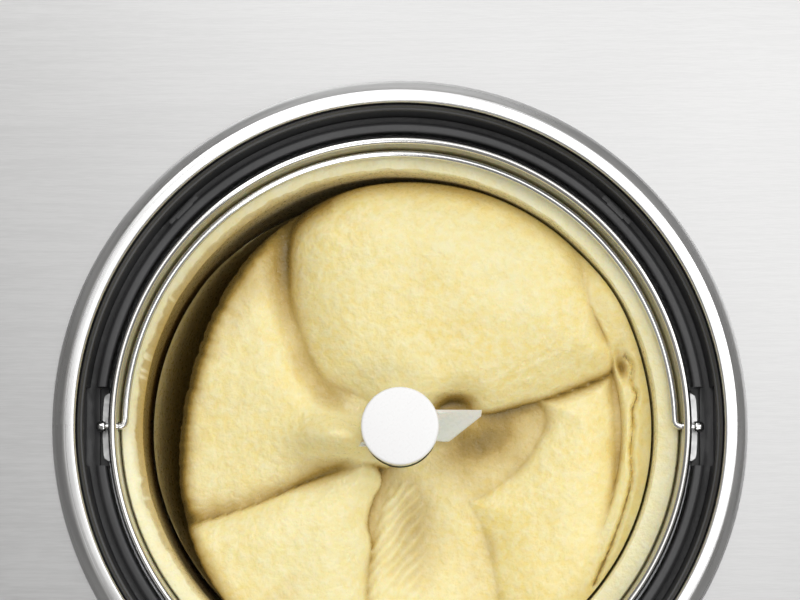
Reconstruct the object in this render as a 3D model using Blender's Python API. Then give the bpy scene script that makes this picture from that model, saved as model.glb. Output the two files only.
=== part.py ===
"""Bench-top compressor ice cream maker: steel housing, cooled well, removable bowl and driven paddle.

The frame has +Z up and its origin on the worktop, under the middle of the machine. The front faces -Y.
Every size below is in millimetres; the mesh makers turn them into metres as they write vertices.
"""

import math

import bmesh
import bpy
from mathutils import Vector

MM = 0.001

# ---- Fits and mesh fineness
GAP = 0.3  # between pieces that touch
RING_SEGMENTS = 36
HUB_SEGMENTS = 20
SMALL_SEGMENTS = 12
CORNER_STEPS = 4

# ---- Housing
BODY_WIDTH = 396.0
BODY_DEPTH = 276.0
BODY_CORNER = 28.0
SHEET = 1.0
FOOT_HEIGHT = 8.0
BAND_BOTTOM = 13.0
PLATE_TOP = 236.0
PLATE_EDGE_RADIUS = 5.0
PLATE_SKIRT = 6.6
REAR_SHEET = 1.2
REAR_RETURN = 48.0
SCREW_X = BODY_WIDTH / 2 - REAR_RETURN + 8.0  # the rear screws bite in the band's returns
REAR_PANEL_WIDTH = 2 * (SCREW_X + 8.0)
SCREW_HEAD = 2.0
REAR_PROUD = GAP + REAR_SHEET + GAP + SCREW_HEAD
BODY_Y = -REAR_PROUD / 2  # keeps the whole machine centred front to back
BAND_TOP = PLATE_TOP - PLATE_SKIRT - 2 * GAP

# ---- Bowl, its well and the rings around it
BOWL_X = 56.0
BOWL_Y = BODY_Y
RIM_RADIUS = 85.0
RIM_DROP = 1.5  # the rim sits this far below the steel plate
RIM_TOP = PLATE_TOP - RIM_DROP
RIM_BEAD = 1.15
BOWL_DEPTH = 114.0
BOWL_WALL = 0.9
BOWL_TAPER = 3.9
CONE_BASE = 16.0
CONE_TOP = 8.5
CONE_HEIGHT = 48.5
BOWL_FLOOR = RIM_TOP - BOWL_DEPTH
WELL_GAP = 0.8
WELL_WALL = 1.5
COLLAR_GAP = 1.3
SHELF_WIDTH = 3.1
SHELF_DROP = 3.7
GROOVE_WIDTH = 2.3
GROOVE_DEPTH = 10.0
COLLAR_WALL = 1.9
RING_WIDTH = 7.0
RING_RISE = 5.8
RING_INNER = RIM_RADIUS + COLLAR_GAP + SHELF_WIDTH + GROOVE_WIDTH + COLLAR_WALL + GAP
RING_OUTER = RING_INNER + RING_WIDTH
RING_SPIGOT = 1.6
TAB_LENGTH = 11.0
TAB_WIDTH = 1.0
TAB_ANGLES = (45, 135, 225, 315)

# ---- Bail handle and its lugs
WIRE_RADIUS = 1.0
BAIL_DROP = 6.0
BAIL_HEIGHT = RIM_TOP - BAIL_DROP
BAIL_HEAD_RADIUS = 1.7
BAIL_HEAD_REACH = 4.1
BAIL_BEND = 1.6
LUG_HALF_WIDTH = 10.0
LUG_SHEET = 1.0
LUG_REACH = 2.3
LUG_DROP = 9.3
LUG_HEIGHT = 5.4
LUG_HALF_ANGLE = math.degrees(math.asin(LUG_HALF_WIDTH / (RIM_RADIUS + LUG_REACH)))
NOTCH_HALF_WIDTH = LUG_HALF_WIDTH + 1.5
NOTCH_STEP = RIM_RADIUS + LUG_REACH + 0.7
COLLAR_DEPTH = RIM_DROP + LUG_DROP + LUG_HEIGHT + 0.5

# ---- Paddle and contents
CAP_DROP = 1.0
CAP_HEIGHT = 4.0
HUB_RADIUS = 10.8
CAP_RADIUS = HUB_RADIUS + 0.6
PADDLE_FLOOR_GAP = 2.5
HUB_CONE_GAP = 1.8
HUB_WALL = 3.7
HUB_FOOT = CONE_BASE + HUB_CONE_GAP + HUB_WALL
LAYER_INNER = RIM_RADIUS - 9.5
MASS_REACH = LAYER_INNER - 0.9
BLADE_REACH = LAYER_INNER - 1.3
BLADE_SHEET = 2.6
BLADE_LEAN = 16.0
BLADE_DROP = 12.0
SHOULDER_REACH = 25.0
SHOULDER_HIGH = 5.4
SHOULDER_LOW = 3.8
SHOULDER_TIP = 3.4
SHOULDER_DROP = 14.0
SHOULDER_SLOPE = 0.75
SHOULDER_SHEET = 2.6
BLADE_FALL = 0.75
CONTENTS_GAP = 0.7
MASS_LEVEL = RIM_TOP - 23.0
MASS_AWAY = 9.9
MASS_AWAY_AT = math.radians(166)
MASS_AWAY_SPREAD = math.radians(47)
HEX_RADIUS = 4.9
HEX_GAP = 0.3
HEX_LENGTH = 31.0

# ---- Drive
SHAFT_RADIUS = 5.0
RUNNING_GAP = 0.3
GEAR_TEETH = 42
PINION_TEETH = 12
PRESSURE_ANGLE = math.radians(25)
FIRST_MODULE = 1.0
SECOND_MODULE = 1.25
ADDENDUM = 0.9
DEDENDUM = 1.15
BACKLASH = 0.2
SECOND_CENTRES = SECOND_MODULE * (GEAR_TEETH + PINION_TEETH) / 2
FIRST_CENTRES = FIRST_MODULE * (GEAR_TEETH + PINION_TEETH) / 2
JACKET_FLOOR = 22.5  # from the bridge up to the bowl
BRIDGE_TOP = BOWL_FLOOR - JACKET_FLOOR
BRIDGE_SHEET = 2.0
CASE_TOP = BRIDGE_TOP - BRIDGE_SHEET - 6.0
CASE_HEIGHT = 38.0
CASE_FLOOR = CASE_TOP - CASE_HEIGHT
CASE_WALL = 3.0
CASE_LEFT = -(SECOND_CENTRES + FIRST_CENTRES) - 17.25
CASE_RIGHT = SECOND_MODULE * GEAR_TEETH / 2 + 11.75
MOTOR_RADIUS = 31.0
BUSHING_RADIUS = SHAFT_RADIUS + 3.0
BRIDGE_HALF_WIDTH = SECOND_CENTRES + FIRST_CENTRES + MOTOR_RADIUS + 6.25
BRIDGE_HALF_DEPTH = 50.0

# ---- Cooling
COIL_TUBE = 2.9
COIL_TURNS = 4
COIL_RADIUS = RIM_RADIUS - 1.5 + WELL_GAP + WELL_WALL + COIL_TUBE + 0.65
JACKET_WALL = 13.0
JACKET_INNER = COIL_RADIUS + COIL_TUBE + 0.75
JACKET_OUTER = JACKET_INNER + JACKET_WALL
COMPRESSOR_X = -110.0
COMPRESSOR_Y = 58.0
COMPRESSOR_RADIUS = 52.0
COMPRESSOR_TOP = 160.0
COMPRESSOR_WALL = 8.0
LINE_RADIUS = 3.0
CAPILLARY_RADIUS = 1.2
PIPE_LANE = COMPRESSOR_Y - COMPRESSOR_RADIUS - 10.0  # the lines run between the compressor and the fan
PORT_Z = COMPRESSOR_TOP - 36.0
FAN_RADIUS = 43.0
FAN_FRAME = 2 * (FAN_RADIUS + 7.0)
FAN_Y = PIPE_LANE - 10.0 - FAN_FRAME / 2
FAN_Z = 88.0
FAN_X = 37.0 - BODY_WIDTH / 2
CONDENSER_X = 17.0 - BODY_WIDTH / 2

# ---- Controls
FASCIA_WIDTH = 104.0
FASCIA_X = (FASCIA_WIDTH - BODY_WIDTH) / 2 + 12.0
FASCIA_DEPTH = 188.0
FASCIA_LIP = 2.0
FASCIA_RISE = 1.6
FASCIA_SHEET = 3.0
KNOB_Y = BODY_Y - 48.0
KNOB_RADIUS = 20.0
KNOB_HEIGHT = 15.0
BUTTON_Y = BODY_Y + 4.0
BUTTON_PITCH = 30.0
BUTTON_RADIUS = 7.0
BUTTON_TRAVEL = 1.2
WINDOW_Y = BODY_Y + 52.0
WINDOW_WIDTH = 62.0
WINDOW_DEPTH = 32.0
BOARD_DROP = 14.0
BOARD_Z = PLATE_TOP - BOARD_DROP
BOARD_SHEET = 1.6

# ---- Power entry, on the rear panel
INLET_X = 84.0
SWITCH_X = 122.0
POWER_Z = 44.0
INLET_WIDTH = 27.4
INLET_HEIGHT = 19.8
INLET_DEPTH = 22.0
SOCKET_WALL = 1.7
SOCKET_DEPTH = 16.0
ROCKER_TILT = 8.0

FINISHES = {  # colour, roughness, metallic
    "brushed_steel": ((0.74, 0.74, 0.73), 0.34, 1.0),
    "polished_steel": ((0.80, 0.79, 0.77), 0.16, 1.0),
    "satin_ring": ((0.82, 0.82, 0.82), 0.28, 1.0),
    "black_plastic": ((0.018, 0.018, 0.020), 0.42, 0.0),
    "gloss_black": ((0.010, 0.010, 0.012), 0.12, 0.0),
    "white_plastic": ((0.90, 0.89, 0.86), 0.35, 0.0),
    "dark_paint": ((0.06, 0.06, 0.065), 0.55, 0.0),
    "aluminium": ((0.80, 0.81, 0.82), 0.38, 1.0),
    "copper": ((0.80, 0.42, 0.26), 0.30, 1.0),
    "foam": ((0.85, 0.80, 0.62), 0.90, 0.0),
    "rubber": ((0.03, 0.03, 0.03), 0.80, 0.0),
    "gear_nylon": ((0.82, 0.80, 0.72), 0.45, 0.0),
    "circuit_board": ((0.03, 0.20, 0.09), 0.50, 0.0),
    "vanilla_ice": ((0.93, 0.80, 0.45), 0.50, 0.0),
}


# ---------------------------------------------------------------- mesh makers


def clear_scene():
    for thing in list(bpy.data.objects):
        bpy.data.objects.remove(thing)


def finish_material(finish):
    found = bpy.data.materials.get(finish)
    if found:
        return found
    colour, roughness, metallic = FINISHES[finish]
    made = bpy.data.materials.new(finish)
    made.use_nodes = True
    shader = made.node_tree.nodes["Principled BSDF"]
    shader.inputs["Base Color"].default_value = (*colour, 1.0)
    shader.inputs["Roughness"].default_value = roughness
    shader.inputs["Metallic"].default_value = metallic
    return made


def object_from(name, finish, bm, at):
    """Finishes a bmesh built around its own origin, and places it at a point."""
    bmesh.ops.recalc_face_normals(bm, faces=bm.faces)
    mesh = bpy.data.meshes.new(name)
    bm.to_mesh(mesh)
    bm.free()
    mesh.shade_smooth()
    mesh.set_sharp_from_angle(angle=math.radians(35))
    mesh.materials.append(finish_material(finish))
    thing = bpy.data.objects.new(name, mesh)
    thing.location = Vector(at) * MM
    bpy.context.scene.collection.objects.link(thing)
    return thing


def point(bm, x, y, z):
    return bm.verts.new((x * MM, y * MM, z * MM))


def turned(name, finish, profile, at=(0, 0, 0), segments=RING_SEGMENTS, closed=True):
    """Turns a profile of (radius, height) about Z. An open profile starts and ends on the axis."""
    bm = bmesh.new()
    verts = [point(bm, radius, 0, height) for radius, height in profile]
    edges = [bm.edges.new(pair) for pair in zip(verts, verts[1:])]
    if closed:
        edges.append(bm.edges.new((verts[-1], verts[0])))
    bmesh.ops.spin(
        bm,
        geom=verts + edges,
        axis=(0, 0, 1),
        cent=(0, 0, 0),
        angle=math.tau,
        steps=segments,
    )
    bmesh.ops.remove_doubles(bm, verts=bm.verts, dist=1e-6)
    bmesh.ops.dissolve_degenerate(bm, edges=bm.edges, dist=1e-7)
    return object_from(name, finish, bm, at)


def turned_sector(name, finish, profile, middle, half_angle, at, steps=6):
    """Turns a closed profile through part of a circle, with flat ends."""
    loops = []
    for step in range(steps + 1):
        angle = math.radians(middle - half_angle + 2 * half_angle * step / steps)
        loops.append([(r * math.cos(angle), r * math.sin(angle), z) for r, z in profile])
    return lofted(name, finish, loops, at)


def lofted(name, finish, loops, at=(0, 0, 0), twisted=False):
    """Joins closed loops of equal length in order, and caps the first and the last.

    Twisted walls are split into triangles the same way every time, so that a grown copy clears them all over.
    """
    bm = bmesh.new()
    rings = [[point(bm, *corner) for corner in loop] for loop in loops]
    count = len(rings[0])
    for below, above in zip(rings, rings[1:]):
        for i in range(count):
            j = (i + 1) % count
            if twisted:
                bm.faces.new((below[i], below[j], above[j]))
                bm.faces.new((below[i], above[j], above[i]))
            else:
                bm.faces.new((below[i], below[j], above[j], above[i]))
    bm.faces.new(rings[0])
    bm.faces.new(rings[-1])
    return object_from(name, finish, bm, at)


def prism(name, finish, outline, axis, low, high, at=(0, 0, 0)):
    """Extrudes an outline along X, Y or Z. Its two coordinates are the other axes, in X, Y, Z order."""
    place = {
        "X": lambda u, v, along: (along, u, v),
        "Y": lambda u, v, along: (u, along, v),
        "Z": lambda u, v, along: (u, v, along),
    }[axis]
    return lofted(name, finish, [[place(u, v, along) for u, v in outline] for along in (low, high)], at)


def block(name, finish, low, high, at=(0, 0, 0)):
    outline = [(low[0], low[1]), (high[0], low[1]), (high[0], high[1]), (low[0], high[1])]
    return prism(name, finish, outline, "Z", low[2], high[2], at)


def blocks(name, boxes, at=(0, 0, 0)):
    """Several blocks that stay clear of each other, as one tool for a Boolean."""
    bm = bmesh.new()
    for low, high in boxes:
        cube = bmesh.ops.create_cube(bm, size=1.0)["verts"]
        for vert in cube:
            vert.co = Vector((low[k] + (high[k] - low[k]) * (vert.co[k] + 0.5)) * MM for k in range(3))
    return object_from(name, "dark_paint", bm, at)


def drum(name, finish, radius, low, high, at=(0, 0, 0), segments=SMALL_SEGMENTS, axis="Z"):
    """A plain cylinder along an axis."""
    outline = regular(radius, segments)
    return prism(name, finish, outline, axis, low, high, at)


def regular(radius, sides, start=0.0):
    turn = math.tau / sides
    return [(radius * math.cos(start + i * turn), radius * math.sin(start + i * turn)) for i in range(sides)]


def rounded(width, depth, radius, z=None, middle=(0.0, 0.0), steps=CORNER_STEPS):
    """A rounded rectangle, as (x, y) or, at a height, as (x, y, z)."""
    corners = ((1, 1, 0), (-1, 1, 90), (-1, -1, 180), (1, -1, 270))
    loop = []
    for side_x, side_y, start in corners:
        for step in range(steps + 1):
            angle = math.radians(start + 90 * step / steps)
            x = middle[0] + side_x * (width / 2 - radius) + radius * math.cos(angle)
            y = middle[1] + side_y * (depth / 2 - radius) + radius * math.sin(angle)
            loop.append((x, y) if z is None else (x, y, z))
    return loop


def filleted(corners, radius, steps=3):
    """A route through corner points with each corner rounded off."""
    route = [Vector(corners[0])]
    for before, corner, after in zip(corners, corners[1:], corners[2:]):
        before, corner, after = Vector(before), Vector(corner), Vector(after)
        back = corner + (before - corner).normalized() * radius
        ahead = corner + (after - corner).normalized() * radius
        for step in range(steps + 1):
            t = step / steps
            route.append(back * (1 - t) ** 2 + corner * 2 * t * (1 - t) + ahead * t * t)
    route.append(Vector(corners[-1]))
    return route


def tube(name, finish, route, radius, at=(0, 0, 0), bevel_resolution=1):
    """A round tube along a route of points, as a curve with capped ends."""
    curve = bpy.data.curves.new(name, "CURVE")
    curve.dimensions = "3D"
    curve.bevel_depth = radius * MM
    curve.bevel_resolution = bevel_resolution
    curve.use_fill_caps = True
    spline = curve.splines.new("POLY")
    spline.points.add(len(route) - 1)
    for spot, corner in zip(spline.points, route):
        spot.co = (*(Vector(corner) * MM), 1.0)
    curve.materials.append(finish_material(finish))
    thing = bpy.data.objects.new(name, curve)
    thing.location = Vector(at) * MM
    bpy.context.scene.collection.objects.link(thing)
    return thing


def combine(target, tool, operation="DIFFERENCE"):
    """Cuts a tool from a piece, or joins it on, and leaves the tool out of the model."""
    modifier = target.modifiers.new(tool.name, "BOOLEAN")
    modifier.operation = operation
    modifier.solver = "EXACT"
    modifier.object = tool
    tool.hide_render = True
    tool.display_type = "WIRE"
    return target


# ---------------------------------------------------------------- housing


def feet():
    inset_x = BODY_WIDTH / 2 - 36
    inset_y = BODY_DEPTH / 2 - 34
    for side, x in (("left", -inset_x), ("right", inset_x)):
        for end, y in (("front", BODY_Y - inset_y), ("rear", BODY_Y + inset_y)):
            profile = [(0, 0), (9.5, 0), (10.5, 1.0), (12.0, FOOT_HEIGHT - GAP), (0, FOOT_HEIGHT - GAP)]
            turned(f"foot_{end}_{side}", "rubber", profile, (x, y, 0), HUB_SEGMENTS, closed=False)


def base_pan():
    """The moulded tray that carries the works and closes the housing from below."""
    wall, floor, rim = 2.5, 3.0, 24.0
    width = BODY_WIDTH - 2 * (SHEET + 2.0)
    depth = BODY_DEPTH - 2 * (SHEET + 2.0)
    corner = BODY_CORNER - SHEET - 2.0
    middle = (0, BODY_Y)
    inner = (width - 2 * wall, depth - 2 * wall, corner - wall)
    loops = [
        rounded(*inner, FOOT_HEIGHT + floor, middle),
        rounded(*inner, rim, middle),
        rounded(width, depth, corner, rim, middle),
        rounded(width, depth, corner, FOOT_HEIGHT + 2.0, middle),
        rounded(width - 4, depth - 4, corner - 2, FOOT_HEIGHT, middle),
    ]
    lofted("base_pan", "black_plastic", loops)


def band_outline():
    """The housing band in plan: front, both sides and four round corners, open across the rear."""
    outer = rounded(BODY_WIDTH, BODY_DEPTH, BODY_CORNER)
    inner = rounded(BODY_WIDTH - 2 * SHEET, BODY_DEPTH - 2 * SHEET, BODY_CORNER - SHEET)
    end_x = BODY_WIDTH / 2 - REAR_RETURN
    rear_y = BODY_DEPTH / 2
    corner_points = CORNER_STEPS + 1
    outside = [(-end_x, rear_y), *outer[corner_points:], *outer[:corner_points], (end_x, rear_y)]
    ends = [(side * end_x, rear_y - SHEET) for side in (-1, 1)]
    inside = [ends[0], *inner[corner_points:], *inner[:corner_points], ends[1]]
    return outside + inside[::-1]


def rear_screw_places():
    return [(side * SCREW_X, z) for side in (-1, 1) for z in (30.0, BAND_TOP - 16.8)]


def side_slots(side, count, pitch=8.0, width=3.0):
    """Upright air slots through one side of the band, level with the fan."""
    boxes = []
    for i in range(count):
        y = FAN_Y - BODY_Y + (i - (count - 1) / 2) * pitch
        x = side * BODY_WIDTH / 2
        boxes.append(((x - 3, y - width / 2, FAN_Z - 38), (x + 3, y + width / 2, FAN_Z + 38)))
    return boxes


def housing_band():
    """The brushed sheet wrapped round the front and sides, with air slots by the fan and opposite it."""
    band = prism("housing_band", "brushed_steel", band_outline(), "Z", BAND_BOTTOM, BAND_TOP, (0, BODY_Y, 0))
    combine(band, blocks("side_vent_cutters", side_slots(-1, 10) + side_slots(1, 8), (0, BODY_Y, 0)))
    rear = BODY_Y + BODY_DEPTH / 2
    for i, (x, z) in enumerate(rear_screw_places()):
        hole = drum(f"band_screw_hole_{i}", "dark_paint", 2.2, rear - 6, rear + 6, (x, 0, z), axis="Y")
        combine(band, hole)


def top_panel():
    """The drawn steel top with a soft edge, cut out for the bowl ring and the control fascia."""
    steps = 3
    middle = (0, BODY_Y)
    outer, inner = [], []
    for step in range(steps + 1):
        angle = math.radians(90 * step / steps)
        for loops, skin in ((outer, 0.0), (inner, SHEET)):
            radius = PLATE_EDGE_RADIUS - skin
            inset = skin + radius * (1 - math.cos(angle))
            height = PLATE_TOP - PLATE_EDGE_RADIUS + radius * math.sin(angle)
            size = (BODY_WIDTH - 2 * inset, BODY_DEPTH - 2 * inset, BODY_CORNER - inset)
            loops.append(rounded(*size, height, middle))
    skirt = PLATE_TOP - PLATE_SKIRT
    edge = rounded(BODY_WIDTH, BODY_DEPTH, BODY_CORNER, skirt, middle)
    inset = 2 * SHEET
    inner_edge = rounded(BODY_WIDTH - inset, BODY_DEPTH - inset, BODY_CORNER - SHEET, skirt, middle)
    plate = lofted("top_panel", "brushed_steel", inner[::-1] + [inner_edge, edge] + outer)
    hole_radius = RING_INNER + RING_SPIGOT + 2 * GAP
    bowl_hole = drum(
        "plate_bowl_cutter",
        "dark_paint",
        hole_radius,
        PLATE_TOP - 10,
        PLATE_TOP + 5,
        (BOWL_X, BOWL_Y, 0),
        RING_SEGMENTS,
    )
    combine(plate, bowl_hole)
    width = FASCIA_WIDTH - 2 * FASCIA_LIP + 2 * GAP
    depth = FASCIA_DEPTH - 2 * FASCIA_LIP + 2 * GAP
    outline = rounded(width, depth, 8.0, middle=(FASCIA_X, BODY_Y))
    combine(plate, prism("plate_fascia_cutter", "dark_paint", outline, "Z", PLATE_TOP - 10, PLATE_TOP + 5))


def rear_panel():
    """The painted rear cover, lapped over the band's ends, with vents and cut-outs for the power entry."""
    near = BODY_Y + BODY_DEPTH / 2 + GAP
    half = REAR_PANEL_WIDTH / 2
    far = near + REAR_SHEET
    panel = block("rear_panel", "dark_paint", (-half, near, BAND_BOTTOM + 2), (half, far, BAND_TOP))
    vents = []
    for i in range(10):
        x = BOWL_X + (i - 4.5) * 10
        vents.append(((x - 1.5, near - 2, BAND_TOP - 108.8), (x + 1.5, far + 2, BAND_TOP - 38.8)))
    for x, width, height in power_cutouts():
        clear_x, clear_z = width / 2 + GAP, height / 2 + GAP
        vents.append(((x - clear_x, near - 2, POWER_Z - clear_z), (x + clear_x, far + 2, POWER_Z + clear_z)))
    combine(panel, blocks("rear_panel_cutters", vents))
    head = far + GAP
    for i, (x, z) in enumerate(rear_screw_places()):
        at = (x, 0, z)
        combine(panel, drum(f"panel_screw_hole_{i}", "dark_paint", 2.2, near - 2, far + 2, at, axis="Y"))
        screw = drum(f"rear_screw_{i + 1}", "polished_steel", 4.0, head, head + SCREW_HEAD, at, axis="Y")
        shank = drum(f"rear_screw_shank_{i}", "polished_steel", 1.8, head - 9, head + 0.5, at, axis="Y")
        combine(screw, shank, "UNION")


def power_cutouts():
    return ((INLET_X, INLET_WIDTH, INLET_HEIGHT), (SWITCH_X, 19.6, INLET_HEIGHT))


def power_inlet():
    """The mains socket: flange outside, body inside, three blades standing up from the recess floor."""
    face = BODY_Y + BODY_DEPTH / 2 + GAP + REAR_SHEET + GAP
    flange = 2.0
    half_x, half_z = INLET_WIDTH / 2, INLET_HEIGHT / 2
    at = (INLET_X, 0, POWER_Z)
    low, high = (-half_x - 2, face, -half_z - 2), (half_x + 2, face + flange, half_z + 2)
    inlet = block("power_inlet", "black_plastic", low, high, at)
    low, high = (-half_x, face - INLET_DEPTH, -half_z), (half_x, face + 1, half_z)
    body = block("inlet_body", "black_plastic", low, high, at)
    combine(inlet, body, "UNION")
    outer = face + flange
    recess_x, recess_z = half_x - SOCKET_WALL, half_z - SOCKET_WALL
    recess = block(
        "inlet_recess",
        "black_plastic",
        (-recess_x, outer - SOCKET_DEPTH, -recess_z),
        (recess_x, outer + 5, recess_z),
        at,
    )
    combine(inlet, recess)
    blades = []
    for x, z in ((-7.0, -1.5), (0.0, 2.5), (7.0, -1.5)):
        tip = outer - 5.5
        blades.append(((x - 1.0, outer - SOCKET_DEPTH - 1, z - 2.0), (x + 1.0, tip, z + 2.0)))
    combine(inlet, blocks("inlet_blades", blades, at), "UNION")


def rocker_switch():
    """A snap-in switch: a shallow frame, and a rocker that tips about a cross pin."""
    face = BODY_Y + BODY_DEPTH / 2 + GAP + REAR_SHEET + GAP
    width, height = 19.6, INLET_HEIGHT
    at = (SWITCH_X, 0, POWER_Z)
    low, high = (-width / 2 - 2, face, -height / 2 - 2), (width / 2 + 2, face + 2.0, height / 2 + 2)
    frame = block("switch_frame", "black_plastic", low, high, at)
    low, high = (-width / 2, face - 14, -height / 2), (width / 2, face + 1, height / 2)
    combine(frame, block("switch_body", "black_plastic", low, high, at), "UNION")
    half_x, half_z = width / 2 - 2, height / 2 - 2
    low, high = (-half_x, face - 11, -half_z), (half_x, face + 5, half_z)
    combine(frame, block("switch_mouth", "black_plastic", low, high, at))
    half = height / 2 - 3.2
    rise = math.tan(math.radians(ROCKER_TILT)) * half
    crest = 1.6 + rise
    below = [(-5.0, -half + 1.6), (0.0, -half), (crest, -half), (1.6, 0.0)]
    outline = below + [(crest, half), (0.0, half), (-5.0, half - 1.6)]
    pin = (SWITCH_X, face - 1.5, POWER_Z)
    rocker = prism("rocker", "gloss_black", outline, "X", -width / 2 + 2.6, width / 2 - 2.6, pin)
    rocker.rotation_euler.x = math.radians(-ROCKER_TILT)


# ---------------------------------------------------------------- rings, bowl and well


def bowl_axis():
    return (BOWL_X, BOWL_Y, 0)


def bezel_ring():
    """The raised metal ring on the plate: rounded flank, wide flat crown and a spigot down the hole."""
    top = PLATE_TOP + RING_RISE
    foot = PLATE_TOP + GAP
    profile = [
        (RING_OUTER, foot),
        (RING_OUTER, foot + 0.6),
        (RING_OUTER - 0.8, foot + 2.6),
        (RING_OUTER - 2.6, top - 1.0),
        (RING_OUTER - 4.4, top - 0.1),
        (RING_INNER + 0.9, top),
        (RING_INNER, top - 0.9),
        (RING_INNER, PLATE_TOP - 8),
        (RING_INNER + RING_SPIGOT, PLATE_TOP - 8),
        (RING_INNER + RING_SPIGOT, foot),
    ]
    turned("bezel_ring", "satin_ring", profile, bowl_axis())


def lid_collar():
    """The black lid seat inside the ring: two fine steps, a groove for the lid's skirt and a flat shelf."""
    outer = RING_INNER - GAP
    inner = RIM_RADIUS + COLLAR_GAP
    shelf = PLATE_TOP - SHELF_DROP
    groove_floor = PLATE_TOP - GROOVE_DEPTH
    shelf_outer = inner + SHELF_WIDTH
    bottom = PLATE_TOP - COLLAR_DEPTH
    profile = [
        (outer, bottom),
        (outer, PLATE_TOP + 3.4),
        (outer - 0.5, PLATE_TOP + 3.9),
        (outer - 1.0, PLATE_TOP + 2.9),
        (outer - 1.5, PLATE_TOP + 2.9),
        (outer - 1.8, PLATE_TOP + 1.8),
        (outer - COLLAR_WALL, groove_floor),
        (shelf_outer, groove_floor),
        (shelf_outer, shelf - 0.7),
        (shelf_outer - 0.8, shelf),
        (inner + 0.5, shelf),
        (inner, shelf - 0.5),
        (inner, bottom),
    ]
    collar = turned("lid_collar", "black_plastic", profile, bowl_axis())
    for i, angle in enumerate(TAB_ANGLES):
        radius = shelf_outer - 0.8
        half = TAB_LENGTH / 2
        low = (radius, -half, shelf - 3.0)
        high = (shelf_outer + TAB_WIDTH, half, shelf - 0.9)
        tab = block(f"lid_tab_{i}", "black_plastic", low, high, bowl_axis())
        tab.rotation_euler.z = math.radians(angle)
        combine(collar, tab, "UNION")
    for i, side in enumerate((-1, 1)):
        step = NOTCH_STEP * side
        lug_floor = RIM_TOP - LUG_DROP - LUG_SHEET - 1.0
        head_floor = BAIL_HEIGHT - BAIL_HEAD_RADIUS - 0.8
        cuts = [((inner - 3) * side, step, lug_floor), (step, (outer - 1.7) * side, head_floor)]
        for j, (near, far, floor) in enumerate(cuts):
            low = (min(near, far), -NOTCH_HALF_WIDTH, floor)
            high = (max(near, far), NOTCH_HALF_WIDTH, PLATE_TOP + 1.5)
            combine(collar, block(f"lug_notch_{i}_{j}", "black_plastic", low, high, bowl_axis()))


def bowl_wall(height):
    """The outside radius of the bowl's wall at a height: it tapers to let the bowl lift out."""
    top_radius = RIM_RADIUS - 1.5
    share = (RIM_TOP - height) / BOWL_DEPTH
    return top_radius - BOWL_TAPER * share


def bowl():
    """The drawn steel bowl: rolled rim, tapered wall, round floor corner and a centre cone for the shaft."""
    floor = BOWL_FLOOR
    wall = BOWL_WALL
    corner = 4.0
    cone_top = floor + CONE_HEIGHT
    bead_middle = (RIM_RADIUS - RIM_BEAD, RIM_TOP - RIM_BEAD)
    bead = []
    for angle in (-75, -20, 35, 90, 145, 190):
        turn = math.radians(angle)
        bead.append((bead_middle[0] + RIM_BEAD * math.cos(turn), bead_middle[1] + RIM_BEAD * math.sin(turn)))
    neck = RIM_TOP - 2 * RIM_BEAD - 1.4
    profile = [
        (6.5, cone_top - wall),
        (CONE_TOP - wall, cone_top - wall),
        (CONE_BASE - wall, floor),
        (bowl_wall(floor) - corner, floor),
        (bowl_wall(floor) - 1.2, floor + 1.2),
        (bowl_wall(floor + corner), floor + corner),
        (bowl_wall(neck), neck),
        *bead,
        (bowl_wall(neck) - wall, neck),
        (bowl_wall(floor + corner) - wall, floor + corner),
        (bowl_wall(floor) - corner, floor + wall),
        (CONE_BASE, floor + wall),
        (CONE_TOP, cone_top),
        (6.5, cone_top),
    ]
    shell = turned("bowl", "polished_steel", profile, bowl_axis())
    reach = RIM_RADIUS + 5
    at = (BOWL_X, BOWL_Y, BAIL_HEIGHT)
    pivot = drum("bail_pivot_cutter", "dark_paint", WIRE_RADIUS + 0.5, -reach, reach, at, axis="X")
    combine(shell, pivot)


def bowl_lugs():
    """Angle pieces outside the bowl that drop into the collar's notches and stop it from turning."""
    top = RIM_TOP - LUG_DROP
    back = bowl_wall(top) + GAP
    tip = RIM_RADIUS + LUG_REACH
    profile = [
        (back, top - LUG_HEIGHT),
        (back + LUG_SHEET, top - LUG_HEIGHT),
        (back + LUG_SHEET, top - LUG_SHEET),
        (tip, top - LUG_SHEET),
        (tip, top),
        (back, top),
    ]
    turned_sector("bowl_lug_left", "aluminium", profile, 180, LUG_HALF_ANGLE, bowl_axis())
    turned_sector("bowl_lug_right", "aluminium", profile, 0, LUG_HALF_ANGLE, bowl_axis())


def bail_handle():
    """The wire handle, folded inside the rim. Its ends turn out through the wall and carry upset heads."""
    arc_radius = bowl_wall(BAIL_HEIGHT) - BOWL_WALL - WIRE_RADIUS - 1.0
    steps = 28
    first = math.asin(BAIL_BEND / arc_radius)
    arc = []
    for step in range(steps + 1):
        angle = first + (math.pi - 2 * first) * step / steps
        arc.append((arc_radius * math.cos(angle), arc_radius * math.sin(angle), 0))
    outside = RIM_RADIUS + BAIL_HEAD_REACH - 0.6
    bend = arc_radius + BAIL_BEND
    right = [(outside, 0, 0), (bend, 0, 0), (arc_radius + 0.45, 0.45, 0)]
    left = [(-x, y, z) for x, y, z in right[::-1]]
    at = (BOWL_X, BOWL_Y, BAIL_HEIGHT)
    route = right + arc + left
    bail = tube("bail_handle", "polished_steel", route, WIRE_RADIUS, at, bevel_resolution=2)
    bail_mesh = bpy.data.meshes.new_from_object(bail)
    bpy.data.objects.remove(bail)
    bail = bpy.data.objects.new("bail_handle", bail_mesh)
    bail.location = Vector(at) * MM
    bpy.context.scene.collection.objects.link(bail)
    head_low = bowl_wall(BAIL_HEIGHT) + 2.2
    for i, side in enumerate((-1, 1)):
        ends = sorted((side * head_low, side * (RIM_RADIUS + BAIL_HEAD_REACH)))
        head = drum(f"bail_head_{i}", "polished_steel", BAIL_HEAD_RADIUS, *ends, at, axis="X")
        combine(bail, head, "UNION")


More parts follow.
